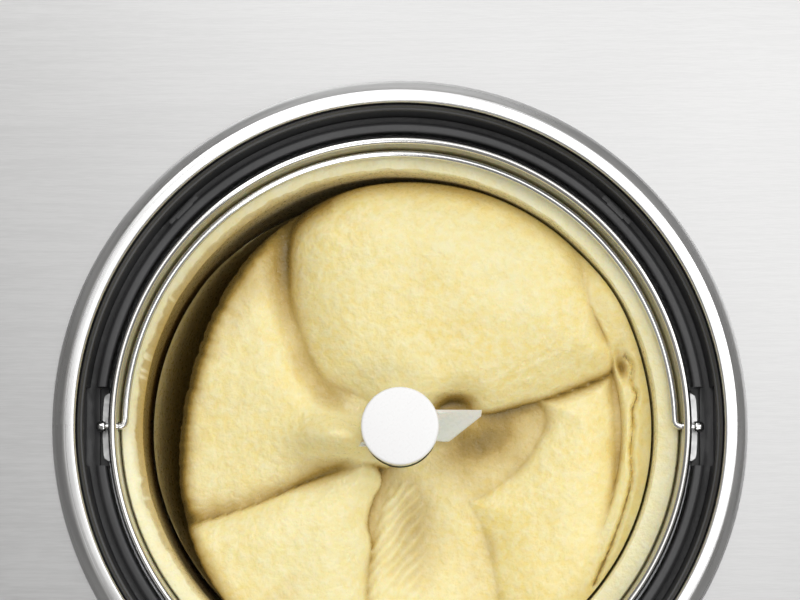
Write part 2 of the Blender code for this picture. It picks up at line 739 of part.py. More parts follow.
def cooling_well():
    """The aluminium cup that the bowl drops into, flanged under the collar and open round the shaft."""
    floor = BOWL_FLOOR - 1.0
    flange_top = PLATE_TOP - COLLAR_DEPTH - GAP
    reach = RING_INNER - 1.0
    inner_top = bowl_wall(flange_top) + WELL_GAP
    inner_low = bowl_wall(floor + 4) + WELL_GAP
    profile = [
        (14.0, floor),
        (inner_low - 3.5, floor),
        (inner_low, floor + 4),
        (inner_top, flange_top),
        (reach, flange_top),
        (reach, flange_top - WELL_WALL),
        (inner_top + WELL_WALL, flange_top - WELL_WALL),
        (inner_low + WELL_WALL, floor + 3.4),
        (inner_low - 3.0, floor - WELL_WALL),
        (14.0, floor - WELL_WALL),
    ]
    turned("cooling_well", "aluminium", profile, bowl_axis())


# ---------------------------------------------------------------- paddle and contents


def blade_top_angle(radius):
    """Each blade's upper edge starts ahead of the hub's radius and trails back as it nears the wall."""
    return math.radians(50 * math.exp(-radius / 20) - 5)


def blade_mesh(name, turn, grow):
    """A leaning blade: its foot trails behind its upper edge, so that it lifts what it pushes."""
    columns, rows = 7, 3
    start = HUB_RADIUS - 3.0
    low = BOWL_FLOOR + BOWL_WALL + PADDLE_FLOOR_GAP
    faces = {-1: [], 1: []}
    for i in range(columns + 1):
        radius = start + (BLADE_REACH - start) * i / columns
        reach = radius + (grow if i == columns else 0.0)
        high = RIM_TOP - BLADE_DROP - BLADE_FALL * (radius - HUB_RADIUS)
        lean = BLADE_LEAN / max(radius, HUB_FOOT)
        for side, column in faces.items():
            points = []
            for j in range(rows + 1):
                share = j / rows
                skew = side * (BLADE_SHEET / 2 + grow) / max(radius, HUB_RADIUS)
                angle = turn + blade_top_angle(radius) - lean * (1 - share) + skew
                extra = grow * {0: -1, rows: 1}.get(j, 0)
                height = low + (high - low) * share + extra
                points.append((reach * math.cos(angle), reach * math.sin(angle), height))
            column.append(points)
    loops = [faces[-1][i] + faces[1][i][::-1] for i in range(columns + 1)]
    return lofted(name, "white_plastic", loops, bowl_axis(), twisted=True)


def shoulder_mesh(name, side, grow):
    """The sloping web between the hub and the top of one blade."""
    loops = []
    root = HUB_RADIUS - 3.0
    tip = SHOULDER_REACH + grow
    for along, high_side, low_side, fall in (
        (root, SHOULDER_HIGH, -SHOULDER_LOW, 0.0),
        (tip, SHOULDER_HIGH, SHOULDER_TIP, 1.5),
    ):
        top = RIM_TOP - SHOULDER_DROP - fall
        high_y, low_y = high_side + grow, low_side - grow
        slope = SHOULDER_SLOPE * (high_side - low_side)
        loop = [
            (along, high_y, top + grow),
            (along, low_y, top - slope + grow),
            (along, low_y, top - slope - SHOULDER_SHEET - grow),
            (along, high_y, top - SHOULDER_SHEET - grow),
        ]
        loops.append([(side * x, side * y, z) for x, y, z in loop])
    return lofted(name, "white_plastic", loops, bowl_axis(), twisted=True)


def paddle_solid(name, grow):
    """The hub and its two blades as one solid, grown all round to make room for it in the ice cream."""
    low = BOWL_FLOOR + BOWL_WALL + PADDLE_FLOOR_GAP - grow
    cone_top = BOWL_FLOOR + CONE_HEIGHT
    high = RIM_TOP - CAP_DROP - CAP_HEIGHT - GAP
    profile = [
        (0, low),
        (HUB_FOOT + grow, low),
        (HUB_RADIUS + 2.4 + grow, cone_top + 2),
        (HUB_RADIUS + grow, cone_top + 30),
        (HUB_RADIUS + grow, high),
        (0, high),
    ]
    solid = turned(name, "white_plastic", profile, bowl_axis(), HUB_SEGMENTS, closed=False)
    for i, side in enumerate((1, -1)):
        combine(solid, blade_mesh(f"{name}_blade_{i}", i * math.pi, grow), "UNION")
        combine(solid, shoulder_mesh(f"{name}_shoulder_{i}", side, grow), "UNION")
    return solid


def paddle():
    """The moulded paddle, hollow over the bowl's cone, with a hexagonal socket and a bore for its cap."""
    solid = paddle_solid("paddle", 0.0)
    floor = BOWL_FLOOR
    cone_top = floor + CONE_HEIGHT
    hollow = [
        (0, floor - 5),
        (CONE_BASE + HUB_CONE_GAP + 0.4, floor - 5),
        (CONE_BASE + HUB_CONE_GAP, floor),
        (CONE_TOP + HUB_CONE_GAP, cone_top + 1.5),
        (0, cone_top + 1.5),
    ]
    combine(solid, turned("paddle_hollow", "dark_paint", hollow, bowl_axis(), HUB_SEGMENTS, closed=False))
    socket = regular(HEX_RADIUS + HEX_GAP, 6)
    socket_top = cone_top + HEX_LENGTH + 4
    combine(solid, prism("paddle_socket", "dark_paint", socket, "Z", cone_top - 2, socket_top, bowl_axis()))
    hub_top = RIM_TOP - CAP_DROP - CAP_HEIGHT
    low, high = hub_top - 8.5, hub_top + 2
    combine(solid, drum("paddle_cap_bore", "dark_paint", 7.3, low, high, bowl_axis(), HUB_SEGMENTS))


def paddle_cap():
    """The snap-in disc that closes the hub, with a soft upper edge."""
    top = RIM_TOP - CAP_DROP
    low = top - CAP_HEIGHT
    profile = [
        (0, low - 6),
        (7.0, low - 6),
        (7.0, low),
        (CAP_RADIUS, low),
        (CAP_RADIUS, top - 0.9),
        (CAP_RADIUS - 0.9, top),
        (0, top),
    ]
    turned("paddle_cap", "white_plastic", profile, bowl_axis(), HUB_SEGMENTS, closed=False)


def mass_reach(angle):
    """The churned mass fills the paddle's sweep, but has drawn away from the wall along one side."""
    off = math.atan2(math.sin(angle - MASS_AWAY_AT), math.cos(angle - MASS_AWAY_AT))
    return MASS_REACH - MASS_AWAY * math.exp(-((off / MASS_AWAY_SPREAD) ** 2))


def mass_height(x, y):
    """The mass is heaped ahead of one blade and round the hub's left side, and hollow behind the blade."""
    heap = 1 - ((x - 14) / 50) ** 2 - ((y - 38) / 36) ** 2
    hollow = math.exp(-(((x - 26) / 14) ** 2) - (((y + 8) / 9) ** 2))
    shoulder = math.exp(-(((x + 16) / 17) ** 2) - ((y / 13) ** 2))
    return MASS_LEVEL + 10.5 * max(0.0, heap) + 6.0 * shoulder - 2.5 * hollow


def ice_cream():
    """The soft mass that turns with the paddle, with the paddle's own shape left open in it."""
    sectors = 32
    low = BOWL_FLOOR + BOWL_WALL + GAP
    loops = []
    for share in (0.1, 0.3, 0.5, 0.68, 0.84, 0.95):
        loop = []
        for i in range(sectors):
            angle = math.tau * i / sectors
            radius = share * mass_reach(angle)
            x, y = radius * math.cos(angle), radius * math.sin(angle)
            loop.append((x, y, mass_height(x, y)))
        loops.append(loop)
    for drop, reach in ((4.0, mass_reach), (56.0, mass_reach), (70.0, MASS_REACH), (None, MASS_REACH)):
        loop = []
        for i in range(sectors):
            angle = math.tau * i / sectors
            radius = reach(angle) if callable(reach) else reach
            x, y = radius * math.cos(angle), radius * math.sin(angle)
            loop.append((x, y, low if drop is None else mass_height(x, y) - drop))
        loops.append(loop)
    mass = lofted("ice_cream", "vanilla_ice", loops, bowl_axis())
    combine(mass, paddle_solid("paddle_room", CONTENTS_GAP))
    foot = HUB_FOOT + 2 * CONTENTS_GAP
    combine(mass, drum("cone_room", "dark_paint", foot, low - 2, low + 6, bowl_axis(), HUB_SEGMENTS))


def frozen_layer():
    """The hard skin of ice cream on the wall, which the blades scrape but never reach through."""
    low = BOWL_FLOOR + 6
    top = BAIL_HEIGHT - WIRE_RADIUS - 1.6
    outer_gap = BOWL_WALL + GAP
    profile = [
        (LAYER_INNER, low),
        (bowl_wall(low) - outer_gap, low),
        (bowl_wall(top) - outer_gap, top),
        (LAYER_INNER + 2.5, top),
        (LAYER_INNER, top - 3.0),
    ]
    turned("frozen_layer", "vanilla_ice", profile, bowl_axis())


# ---------------------------------------------------------------- drive


def gear_outline(teeth, module, tooth_at):
    """A spur gear's outline, each flank a chord of its involute, with one tooth centred on an angle."""
    pitch = teeth * module / 2
    base = pitch * math.cos(PRESSURE_ANGLE)
    root = pitch - DEDENDUM * module
    tip = pitch + ADDENDUM * module
    half_pitch = math.pi / (2 * teeth) - BACKLASH / (2 * pitch)

    def half_angle(radius):
        roll = math.acos(min(1.0, base / radius))
        return half_pitch + (math.tan(PRESSURE_ANGLE) - PRESSURE_ANGLE) - (math.tan(roll) - roll)

    outline = []
    for tooth in range(teeth):
        middle = tooth_at + math.tau * tooth / teeth
        foot, crest = half_angle(max(root, base)), half_angle(tip)
        for radius, off in ((root, -foot), (tip, -crest), (tip, crest), (root, foot)):
            outline.append((radius * math.cos(middle + off), radius * math.sin(middle + off)))
    return outline


def reduction_axis():
    return (BOWL_X - SECOND_CENTRES, BOWL_Y, 0)


def motor_axis():
    return (BOWL_X - SECOND_CENTRES - FIRST_CENTRES, BOWL_Y, 0)


def drive_train():
    """Motor pinion, compound reduction gear and output gear, in mesh along a line left of the bowl's axis."""
    half_tooth = math.pi / PINION_TEETH
    outline = gear_outline(GEAR_TEETH, SECOND_MODULE, math.pi)
    output = prism("output_gear", "gear_nylon", outline, "Z", CASE_FLOOR + 24, CASE_FLOOR + 34, bowl_axis())
    bore = SHAFT_RADIUS + GAP
    combine(output, drum("output_bore", "dark_paint", bore, CASE_FLOOR, CASE_TOP, bowl_axis()))

    at = reduction_axis()
    wheel_outline = gear_outline(GEAR_TEETH, FIRST_MODULE, math.pi)
    wheel = prism("reduction_gear", "gear_nylon", wheel_outline, "Z", CASE_FLOOR + 8, CASE_FLOOR + 16, at)
    pinion_outline = gear_outline(PINION_TEETH, SECOND_MODULE, half_tooth)
    low, high = CASE_FLOOR + 15, CASE_FLOOR + 35
    pinion = prism("reduction_pinion", "gear_nylon", pinion_outline, "Z", low, high, at)
    combine(wheel, pinion, "UNION")
    combine(wheel, drum("reduction_bore", "dark_paint", 2.5 + RUNNING_GAP, CASE_FLOOR, CASE_TOP, at))
    drum("reduction_pin", "polished_steel", 2.5, CASE_FLOOR + GAP, CASE_TOP + 4, at)

    at = motor_axis()
    outline = gear_outline(PINION_TEETH, FIRST_MODULE, half_tooth)
    pinion = prism("motor_pinion", "polished_steel", outline, "Z", CASE_FLOOR + 7, CASE_FLOOR + 17, at)
    shaft = drum("motor_shaft", "polished_steel", 3.0, CASE_FLOOR - 12, CASE_FLOOR + 8, at)
    combine(pinion, shaft, "UNION")


def drive_shaft():
    """The output shaft, round through its bearings and hexagonal where the paddle drops on."""
    cone_top = BOWL_FLOOR + CONE_HEIGHT
    at = bowl_axis()
    shaft = drum("drive_shaft", "polished_steel", SHAFT_RADIUS, CASE_FLOOR - 1.5, cone_top + 1, at)
    hexagon = regular(HEX_RADIUS, 6)
    driver = prism("shaft_hexagon", "polished_steel", hexagon, "Z", cone_top, cone_top + HEX_LENGTH, at)
    combine(shaft, driver, "UNION")


def bearings():
    bore = SHAFT_RADIUS + RUNNING_GAP
    for name, low, high in (
        ("lower_bushing", CASE_FLOOR - 1, CASE_FLOOR + 5),
        ("upper_bushing", CASE_TOP - 2, CASE_TOP + 5),
    ):
        profile = [(bore, low), (BUSHING_RADIUS, low), (BUSHING_RADIUS, high), (bore, high)]
        turned(name, "copper", profile, bowl_axis(), HUB_SEGMENTS)
    floor = BOWL_FLOOR - 1.0
    seal = [
        (bore, floor - WELL_WALL - 0.2),
        (13.6, floor - WELL_WALL - 0.2),
        (13.6, floor + 0.6),
        (9.0, floor + 2),
        (7.0, floor + 7),
        (bore, floor + 7),
    ]
    turned("shaft_seal", "rubber", seal, bowl_axis(), HUB_SEGMENTS)


def gearbox():
    """The open case and the plate that closes it, both round-cornered, hung under the bridge."""
    half_depth = CASE_RIGHT - 2.0
    width, middle = CASE_RIGHT - CASE_LEFT, ((CASE_LEFT + CASE_RIGHT) / 2, 0.0)
    inner = (width - 2 * CASE_WALL, 2 * (half_depth - CASE_WALL), 9.0)
    loops = [
        rounded(*inner, CASE_FLOOR + CASE_WALL, middle),
        rounded(*inner, CASE_TOP, middle),
        rounded(width, 2 * half_depth, 12.0, CASE_TOP, middle),
        rounded(width, 2 * half_depth, 12.0, CASE_FLOOR, middle),
    ]
    case = lofted("gearbox_case", "gear_nylon", loops, bowl_axis())
    cover_outline = rounded(width, 2 * half_depth, 12.0, middle=middle)
    low, high = CASE_TOP + GAP, BRIDGE_TOP - BRIDGE_SHEET - GAP
    cover = prism("gearbox_cover", "gear_nylon", cover_outline, "Z", low, high, bowl_axis())
    for name, piece in (("case", case), ("cover", cover)):
        bore, low, high = BUSHING_RADIUS + GAP, CASE_FLOOR - 5, BRIDGE_TOP + 5
        combine(piece, drum(f"{name}_bushing_hole", "dark_paint", bore, low, high, bowl_axis(), HUB_SEGMENTS))
        combine(piece, drum(f"{name}_pin_hole", "dark_paint", 2.5 + GAP, low, high, reduction_axis()))
    combine(case, drum("case_motor_hole", "dark_paint", 4.0, CASE_FLOOR - 5, CASE_FLOOR + 5, motor_axis()))


def drive_motor():
    """The geared motor's can, bored at the top for the pinion's shaft."""
    low, high = FOOT_HEIGHT + 5.0, CASE_FLOOR - GAP
    bore = 3.0 + RUNNING_GAP
    profile = [
        (0, low),
        (MOTOR_RADIUS - 2, low),
        (MOTOR_RADIUS, low + 2),
        (MOTOR_RADIUS, high - 2),
        (MOTOR_RADIUS - 2, high),
        (bore, high),
        (bore, CASE_FLOOR - 13),
        (0, CASE_FLOOR - 13),
    ]
    turned("drive_motor", "dark_paint", profile, motor_axis(), HUB_SEGMENTS, closed=False)


def drive_bridge():
    """The bent sheet bridge over the gearbox: it carries the well's foam and stands on the base pan."""
    foot, sheet = 12.0, BRIDGE_SHEET
    low = FOOT_HEIGHT + 3.0 + GAP
    half, top = BRIDGE_HALF_WIDTH, BRIDGE_TOP
    outline = [
        (-half - foot, low),
        (-half + sheet, low),
        (-half + sheet, top - sheet),
        (half - sheet, top - sheet),
        (half - sheet, low),
        (half + foot, low),
        (half + foot, low + sheet),
        (half, low + sheet),
        (half, top),
        (-half, top),
        (-half, low + sheet),
        (-half - foot, low + sheet),
    ]
    depth = BRIDGE_HALF_DEPTH
    bridge = prism("drive_bridge", "aluminium", outline, "Y", -depth, depth, bowl_axis())
    hole = BUSHING_RADIUS + 4
    combine(bridge, drum("bridge_shaft_hole", "dark_paint", hole, top - 10, top + 10, bowl_axis()))


# ---------------------------------------------------------------- cooling


def coil_ends():
    """The heights at which the evaporator tube enters and leaves the foam."""
    return BOWL_FLOOR + 8, PLATE_TOP - 33


def evaporator_coil():
    """The copper tube wound round the well, with both ends led out through the foam."""
    low, high = coil_ends()
    radius = COIL_RADIUS
    per_turn = 16
    outside = JACKET_OUTER + 6
    route = [(-outside, 0, low)]
    for step in range(COIL_TURNS * per_turn + 1):
        share = step / (COIL_TURNS * per_turn)
        angle = math.pi + math.tau * COIL_TURNS * share
        route.append((radius * math.cos(angle), radius * math.sin(angle), low + (high - low) * share))
    route.append((-outside, 0, high))
    tube("evaporator_coil", "copper", route, COIL_TUBE, bowl_axis())


def insulation_jacket():
    """The foam cup round the well and its coil, bored for the shaft and for the two tube ends."""
    low, top = BRIDGE_TOP + 0.5, PLATE_TOP - COLLAR_DEPTH - WELL_WALL - 2 * GAP - 1.0
    inner = JACKET_INNER
    floor = BOWL_FLOOR - 1.0 - WELL_WALL - 2.0
    profile = [
        (20.0, low),
        (JACKET_OUTER, low),
        (JACKET_OUTER, top),
        (inner, top),
        (inner, floor),
        (20.0, floor),
    ]
    jacket = turned("insulation_jacket", "foam", profile, bowl_axis())
    for i, height in enumerate(coil_ends()):
        at = (BOWL_X, BOWL_Y, height)
        low, high = -JACKET_OUTER - 3, -inner + 3
        combine(jacket, drum(f"coil_exit_{i}", "foam", COIL_TUBE + 1.2, low, high, at, axis="X"))


def compressor():
    """The sealed compressor: a welded steel pot on its foot plate, hollow, open only at its charging port."""
    radius, wall, top, low = COMPRESSOR_RADIUS, COMPRESSOR_WALL, COMPRESSOR_TOP, 22.0
    profile = [
        (3.0, top),
        (radius * 0.55, top - 4),
        (radius * 0.9, top - 14),
        (radius, top - 30),
        (radius, low + 12),
        (radius * 0.85, low),
        (0, low),
    ]
    inside = [
        (0, low + wall),
        (radius * 0.85 - wall, low + wall),
        (radius - wall, low + 14),
        (radius - wall, top - 32),
        (radius * 0.85 - wall, top - 20),
        (3.0, top - wall),
    ]
    at = (COMPRESSOR_X, COMPRESSOR_Y, 0)
    pot = turned("compressor", "dark_paint", inside + profile, at, HUB_SEGMENTS, closed=False)
    outline = rounded(96.0, 96.0, 14.0)
    combine(pot, prism("compressor_foot_plate", "dark_paint", outline, "Z", 20.0, 22.5, at), "UNION")


def compressor_mounts():
    """Three waisted rubber blocks between the compressor's foot plate and the base pan."""
    low = FOOT_HEIGHT + 3.0 + GAP
    places = ((-39.0, 0.0), (38.0, -36.0), (38.0, 36.0))
    for i, (x, y) in enumerate(places):
        profile = [(0, low), (8.0, low), (6.5, low + 4), (8.0, 20.0 - GAP), (0, 20.0 - GAP)]
        place = (COMPRESSOR_X + x, COMPRESSOR_Y + y, 0)
        turned(f"compressor_grommet_{i + 1}", "rubber", profile, place, SMALL_SEGMENTS, closed=False)


def condenser_route():
    """The condenser's tube: level passes, one above the other, joined by tight return bends."""
    passes, pitch, low = 9, 14.0, 30.0
    near = PIPE_LANE - 20.0
    far = near - 76.0
    route = [(CONDENSER_X, near + 12, low)]
    for i in range(passes):
        z = low + i * pitch
        start, end = (near, far) if i % 2 == 0 else (far, near)
        route.append((CONDENSER_X, start, z))
        route.append((CONDENSER_X, end, z))
        if i < passes - 1:
            bulge = -4.0 if end == far else 4.0
            route.append((CONDENSER_X, end + bulge, z + pitch * 0.3))
            route.append((CONDENSER_X, end + bulge, z + pitch * 0.7))
    route[-1] = (CONDENSER_X, far, low + (passes - 1) * pitch)
    return route


def refrigerant_lines():
    """The sealed circuit: compressor, condenser, drier, capillary, evaporator and back."""
    route = condenser_route()
    tube("condenser_coil", "copper", route, LINE_RADIUS)
    bottom, top = route[0], route[-1]
    port = COMPRESSOR_RADIUS + GAP
    discharge = [
        (COMPRESSOR_X, COMPRESSOR_Y - port, PORT_Z),
        (COMPRESSOR_X, PIPE_LANE, PORT_Z),
        (CONDENSER_X, PIPE_LANE, PORT_Z),
        (CONDENSER_X, PIPE_LANE, top[2] + 24),
        (CONDENSER_X, top[1] - 8, top[2] + 24),
        (CONDENSER_X, top[1] - 8, top[2]),
        (CONDENSER_X, top[1] - GAP, top[2]),
    ]
    tube("discharge_line", "copper", filleted(discharge, 6.0), LINE_RADIUS)
    drier_y, drier_z = PIPE_LANE, bottom[2]
    drier_left, drier_right = CONDENSER_X + 31.0, CONDENSER_X + 79.0
    liquid = [
        (CONDENSER_X, bottom[1] + GAP, bottom[2]),
        (CONDENSER_X, drier_y, drier_z),
        (drier_left - GAP, drier_y, drier_z),
    ]
    tube("liquid_line", "copper", filleted(liquid, 6.0), LINE_RADIUS)
    half = (drier_right - drier_left) / 2
    profile = [(0, -half), (3.5, -half), (9.0, -half + 8), (9.0, half - 8), (3.5, half), (0, half)]
    middle = ((drier_left + drier_right) / 2, drier_y, drier_z)
    drier = turned("filter_drier", "copper", profile, middle, SMALL_SEGMENTS, closed=False)
    drier.rotation_euler.y = math.pi / 2
    low, high = coil_ends()
    foam_side = BOWL_X - JACKET_OUTER - 6 - GAP
    riser = foam_side - 10.0
    capillary = [
        (drier_right + GAP, drier_y, drier_z),
        (riser, drier_y, drier_z),
        (riser, BOWL_Y, low),
        (foam_side, BOWL_Y, low),
    ]
    tube("capillary", "copper", filleted(capillary, 6.0), CAPILLARY_RADIUS)
    over = COMPRESSOR_X + 20.0
    suction = [
        (foam_side, BOWL_Y, high),
        (over, BOWL_Y, high),
        (over, COMPRESSOR_Y, high),
        (over, COMPRESSOR_Y, COMPRESSOR_TOP - 1.5),
    ]
    tube("suction_line", "copper", filleted(suction, 5.0), LINE_RADIUS)


def fan():
    """The condenser fan: a square frame, a motor behind it and a five-bladed rotor."""
    at = (FAN_X, FAN_Y, FAN_Z)
    half = FAN_FRAME / 2
    frame = block("fan_frame", "black_plastic", (-5, -half, -half), (5, half, half), at)
    combine(frame, drum("fan_frame_hole", "dark_paint", FAN_RADIUS + 3, -8, 8, at, RING_SEGMENTS, axis="X"))
    drum("fan_motor", "dark_paint", 14.0, 6.0, 24.0, at, HUB_SEGMENTS, axis="X")
    rotor = drum("fan_rotor", "black_plastic", 15.0, -4.5, 5.7, at, HUB_SEGMENTS, axis="X")
    blades, half_width, half_sheet, pitched = 5, 10.0, 0.7, math.radians(24)
    for i in range(blades):
        angle = math.tau * i / blades
        loops = []
        for radius in (13.0, FAN_RADIUS - 1):
            loop = []
            for along, thick in ((-1, -1), (1, -1), (1, 1), (-1, 1)):
                u, v = along * half_width, thick * half_sheet
                x = 0.5 + u * math.sin(pitched) * 0.9 - v * math.cos(pitched)
                across = u * math.cos(pitched) + v * math.sin(pitched)
                y = radius * math.cos(angle) - across * math.sin(angle)
                z = radius * math.sin(angle) + across * math.cos(angle)
                loop.append((x, y, z))
            loops.append(loop)
        combine(rotor, lofted(f"fan_blade_{i}", "black_plastic", loops, at), "UNION")


# ---------------------------------------------------------------- controls


def button_places():
    names = ("cool_button", "power_button", "start_button")
    return [(name, FASCIA_X + (i - 1) * BUTTON_PITCH) for i, name in enumerate(names)]


def control_fascia():
    """The glossy control plate, lipped over the steel top, holed for knob, buttons and display."""
    top = PLATE_TOP + FASCIA_RISE
    lip = PLATE_TOP + GAP
    middle = (FASCIA_X, BODY_Y)
    body = (FASCIA_WIDTH - 2 * FASCIA_LIP, FASCIA_DEPTH - 2 * FASCIA_LIP, 8.0 - GAP)
    edge = (FASCIA_WIDTH, FASCIA_DEPTH, 10.0)
    loops = [
        rounded(*body, PLATE_TOP - FASCIA_SHEET, middle),
        rounded(*body, lip, middle),
        rounded(*edge, lip, middle),
        rounded(*edge, top - 0.5, middle),
        rounded(edge[0] - 1, edge[1] - 1, edge[2] - 0.5, top, middle),
    ]
    fascia = lofted("control_fascia", "gloss_black", loops)
    low, high = PLATE_TOP - 6, top + 3
    for name, x in button_places():
        at = (x, BUTTON_Y, 0)
        combine(fascia, drum(f"{name}_hole", "dark_paint", BUTTON_RADIUS + 0.4, low, high, at, HUB_SEGMENTS))
    combine(fascia, drum("knob_hole", "dark_paint", 4.0, low, high, (FASCIA_X, KNOB_Y, 0)))
    outline = rounded(WINDOW_WIDTH, WINDOW_DEPTH, 2.0, middle=(FASCIA_X, WINDOW_Y), steps=2)
    combine(fascia, prism("window_cutter", "dark_paint", outline, "Z", low, high))
    inset = 2 * GAP
    size = (WINDOW_WIDTH - inset, WINDOW_DEPTH - inset, 2.0 - GAP)
    outline = rounded(*size, middle=(FASCIA_X, WINDOW_Y), steps=2)
    prism("display_lens", "gloss_black", outline, "Z", PLATE_TOP - 1.4, top - 0.2)


def timer_knob():
    """The dial, turned from solid metal, on a stem that reaches down to its encoder."""
    foot = PLATE_TOP + FASCIA_RISE + 0.6
    top = foot + KNOB_HEIGHT
    profile = [
        (0, BOARD_Z + 7),
        (3.0, BOARD_Z + 7),
        (3.0, foot),
        (KNOB_RADIUS, foot),
        (KNOB_RADIUS, foot + 1.5),
        (KNOB_RADIUS - 1.2, top - 1.5),
        (KNOB_RADIUS - 2.7, top),
        (0, top),
    ]
    turned("timer_knob", "satin_ring", profile, (FASCIA_X, KNOB_Y, 0), 28, closed=False)


def buttons():
    """Round push buttons, each held under the fascia by a flange, with a stem above its switch."""
    top = PLATE_TOP + FASCIA_RISE + 1.4
    under = PLATE_TOP - FASCIA_SHEET - GAP
    for name, x in button_places():
        profile = [
            (0, BOARD_Z + 5),
            (3.0, BOARD_Z + 5),
            (3.0, under - 2),
            (BUTTON_RADIUS + 2, under - 2),
            (BUTTON_RADIUS + 2, under),
            (BUTTON_RADIUS, under),
            (BUTTON_RADIUS, top - 0.5),
            (BUTTON_RADIUS - 0.5, top),
            (0, top),
        ]
        turned(name, "satin_ring", profile, (x, BUTTON_Y, 0), HUB_SEGMENTS, closed=False)


def control_board():
    """The circuit board with its encoder, switch pads and display block standing on it."""
    half_x, half_y = 46.0, 84.0
    low, top = BOARD_Z, BOARD_Z + BOARD_SHEET
    at = (FASCIA_X, BODY_Y, 0)
    board = block("control_board", "circuit_board", (-half_x, -half_y, low), (half_x, half_y, top), at)
    knob_y, button_y, window_y = KNOB_Y - BODY_Y, BUTTON_Y - BODY_Y, WINDOW_Y - BODY_Y
    parts = [((-7, knob_y - 7, low + 1), (7, knob_y + 7, BOARD_Z + 6.6))]
    for _, x in button_places():
        middle = x - FASCIA_X
        parts.append(((middle - 3, button_y - 3, low + 1), (middle + 3, button_y + 3, BOARD_Z + 3.4)))
    half_w, half_d = WINDOW_WIDTH / 2 + 1, WINDOW_DEPTH / 2 + 2
    display_top = PLATE_TOP - FASCIA_SHEET - 1
    parts.append(((-half_w, window_y - half_d, low + 1), (half_w, window_y + half_d, display_top)))
    combine(board, blocks("board_parts", parts, at), "UNION")


def build():
    clear_scene()
    for make in (
        feet,
        base_pan,
        housing_band,
        top_panel,
        rear_panel,
        power_inlet,
        rocker_switch,
        bezel_ring,
        lid_collar,
        bowl,
        bowl_lugs,
        bail_handle,
        cooling_well,
        paddle,
        paddle_cap,
        ice_cream,
        frozen_layer,
        drive_train,
        drive_shaft,
        bearings,
        gearbox,
        drive_motor,
        drive_bridge,
        evaporator_coil,
        insulation_jacket,
        compressor,
        compressor_mounts,
        refrigerant_lines,
        fan,
        control_fascia,
        timer_knob,
        buttons,
        control_board,
    ):
        make()


build()
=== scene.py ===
import math

import bmesh
import bpy
import numpy as np
from mathutils import Matrix, Vector, noise


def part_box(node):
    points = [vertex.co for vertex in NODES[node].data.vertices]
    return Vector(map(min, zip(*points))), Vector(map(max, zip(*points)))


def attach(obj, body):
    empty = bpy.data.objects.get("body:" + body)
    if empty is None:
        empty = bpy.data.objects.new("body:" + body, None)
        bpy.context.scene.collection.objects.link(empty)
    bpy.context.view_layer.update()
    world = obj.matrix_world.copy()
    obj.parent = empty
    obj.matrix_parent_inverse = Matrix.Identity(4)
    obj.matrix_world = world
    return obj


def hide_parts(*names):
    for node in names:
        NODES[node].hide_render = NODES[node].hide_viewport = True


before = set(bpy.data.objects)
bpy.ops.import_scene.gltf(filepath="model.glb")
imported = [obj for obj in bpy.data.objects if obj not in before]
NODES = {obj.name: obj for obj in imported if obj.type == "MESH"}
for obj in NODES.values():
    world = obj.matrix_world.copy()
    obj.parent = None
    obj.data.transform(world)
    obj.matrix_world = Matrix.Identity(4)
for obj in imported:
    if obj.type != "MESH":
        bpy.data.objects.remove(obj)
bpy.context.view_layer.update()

# The feet: four moulded rubber pads with a soft lower edge, pressed into the base pan's corners.
# The tools that the later sections share start here: lengths in millimetres, a lathe built of nodes,
# and finishes whose colour, roughness and grain come from noise on the piece's own coordinates.
MM = 0.001


def box_mm(node):
    low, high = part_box(node)
    return low / MM, high / MM


def middle_mm(node):
    low, high = box_mm(node)
    return (low + high) / 2


def add_node(tree, kind, inputs=None, **settings):
    """A node with its settings made and its sockets fed with values or with other nodes' sockets."""
    node = tree.nodes.new(kind)
    for key, value in settings.items():
        setattr(node, key, value)
    for socket, value in (inputs or {}).items():
        if isinstance(value, bpy.types.NodeSocket):
            tree.links.new(value, node.inputs[socket])
        else:
            node.inputs[socket].default_value = value
    return node


def new_finish(name, colour, roughness, metallic=0.0, **sockets):
    material = bpy.data.materials.new(name)
    material.use_nodes = True
    tree = material.node_tree
    shader = tree.nodes["Principled BSDF"]
    shader.inputs["Base Color"].default_value = (*colour, 1.0)
    shader.inputs["Roughness"].default_value = roughness
    shader.inputs["Metallic"].default_value = metallic
    for socket, value in sockets.items():
        shader.inputs[socket.replace("_", " ")].default_value = value
    return material, tree, shader


def spread(tree, value, low, high, start=0.35, end=0.65):
    """A noise value stretched to run from low to high."""
    ranged = add_node(tree, "ShaderNodeMapRange", {0: value, 1: start, 2: end, 3: low, 4: high})
    return ranged.outputs[0]


def blend_colours(tree, value, first, second):
    mixed = add_node(
        tree, "ShaderNodeMix", {0: value, 6: (*first, 1.0), 7: (*second, 1.0)}, data_type="RGBA"
    )
    return mixed.outputs[2]


def grained(
    name,
    dark,
    light,
    roughness,
    grain=900.0,
    bump=0.15,
    metallic=0.0,
    stretch=(1, 1, 1),
    cloud=18.0,
    **sockets,
):
    """A finish with slow clouds of colour, fine grain in its roughness, and a fine relief."""
    material, tree, shader = new_finish(name, light, roughness[0], metallic, **sockets)
    place = add_node(tree, "ShaderNodeTexCoord").outputs["Object"]
    mapped = add_node(tree, "ShaderNodeMapping", {"Vector": place, "Scale": stretch}).outputs[0]
    clouds = add_node(tree, "ShaderNodeTexNoise", {"Vector": place, "Scale": cloud, "Detail": 4.0})
    fine = add_node(tree, "ShaderNodeTexNoise", {"Vector": mapped, "Scale": grain, "Detail": 3.0})
    tree.links.new(
        blend_colours(tree, spread(tree, clouds.outputs[0], 0, 1), dark, light),
        shader.inputs["Base Color"],
    )
    tree.links.new(spread(tree, fine.outputs[0], *roughness), shader.inputs["Roughness"])
    relief = add_node(
        tree, "ShaderNodeBump", {"Height": fine.outputs[0], "Strength": bump, "Distance": 0.0002}
    )
    tree.links.new(relief.outputs[0], shader.inputs["Normal"])
    return material


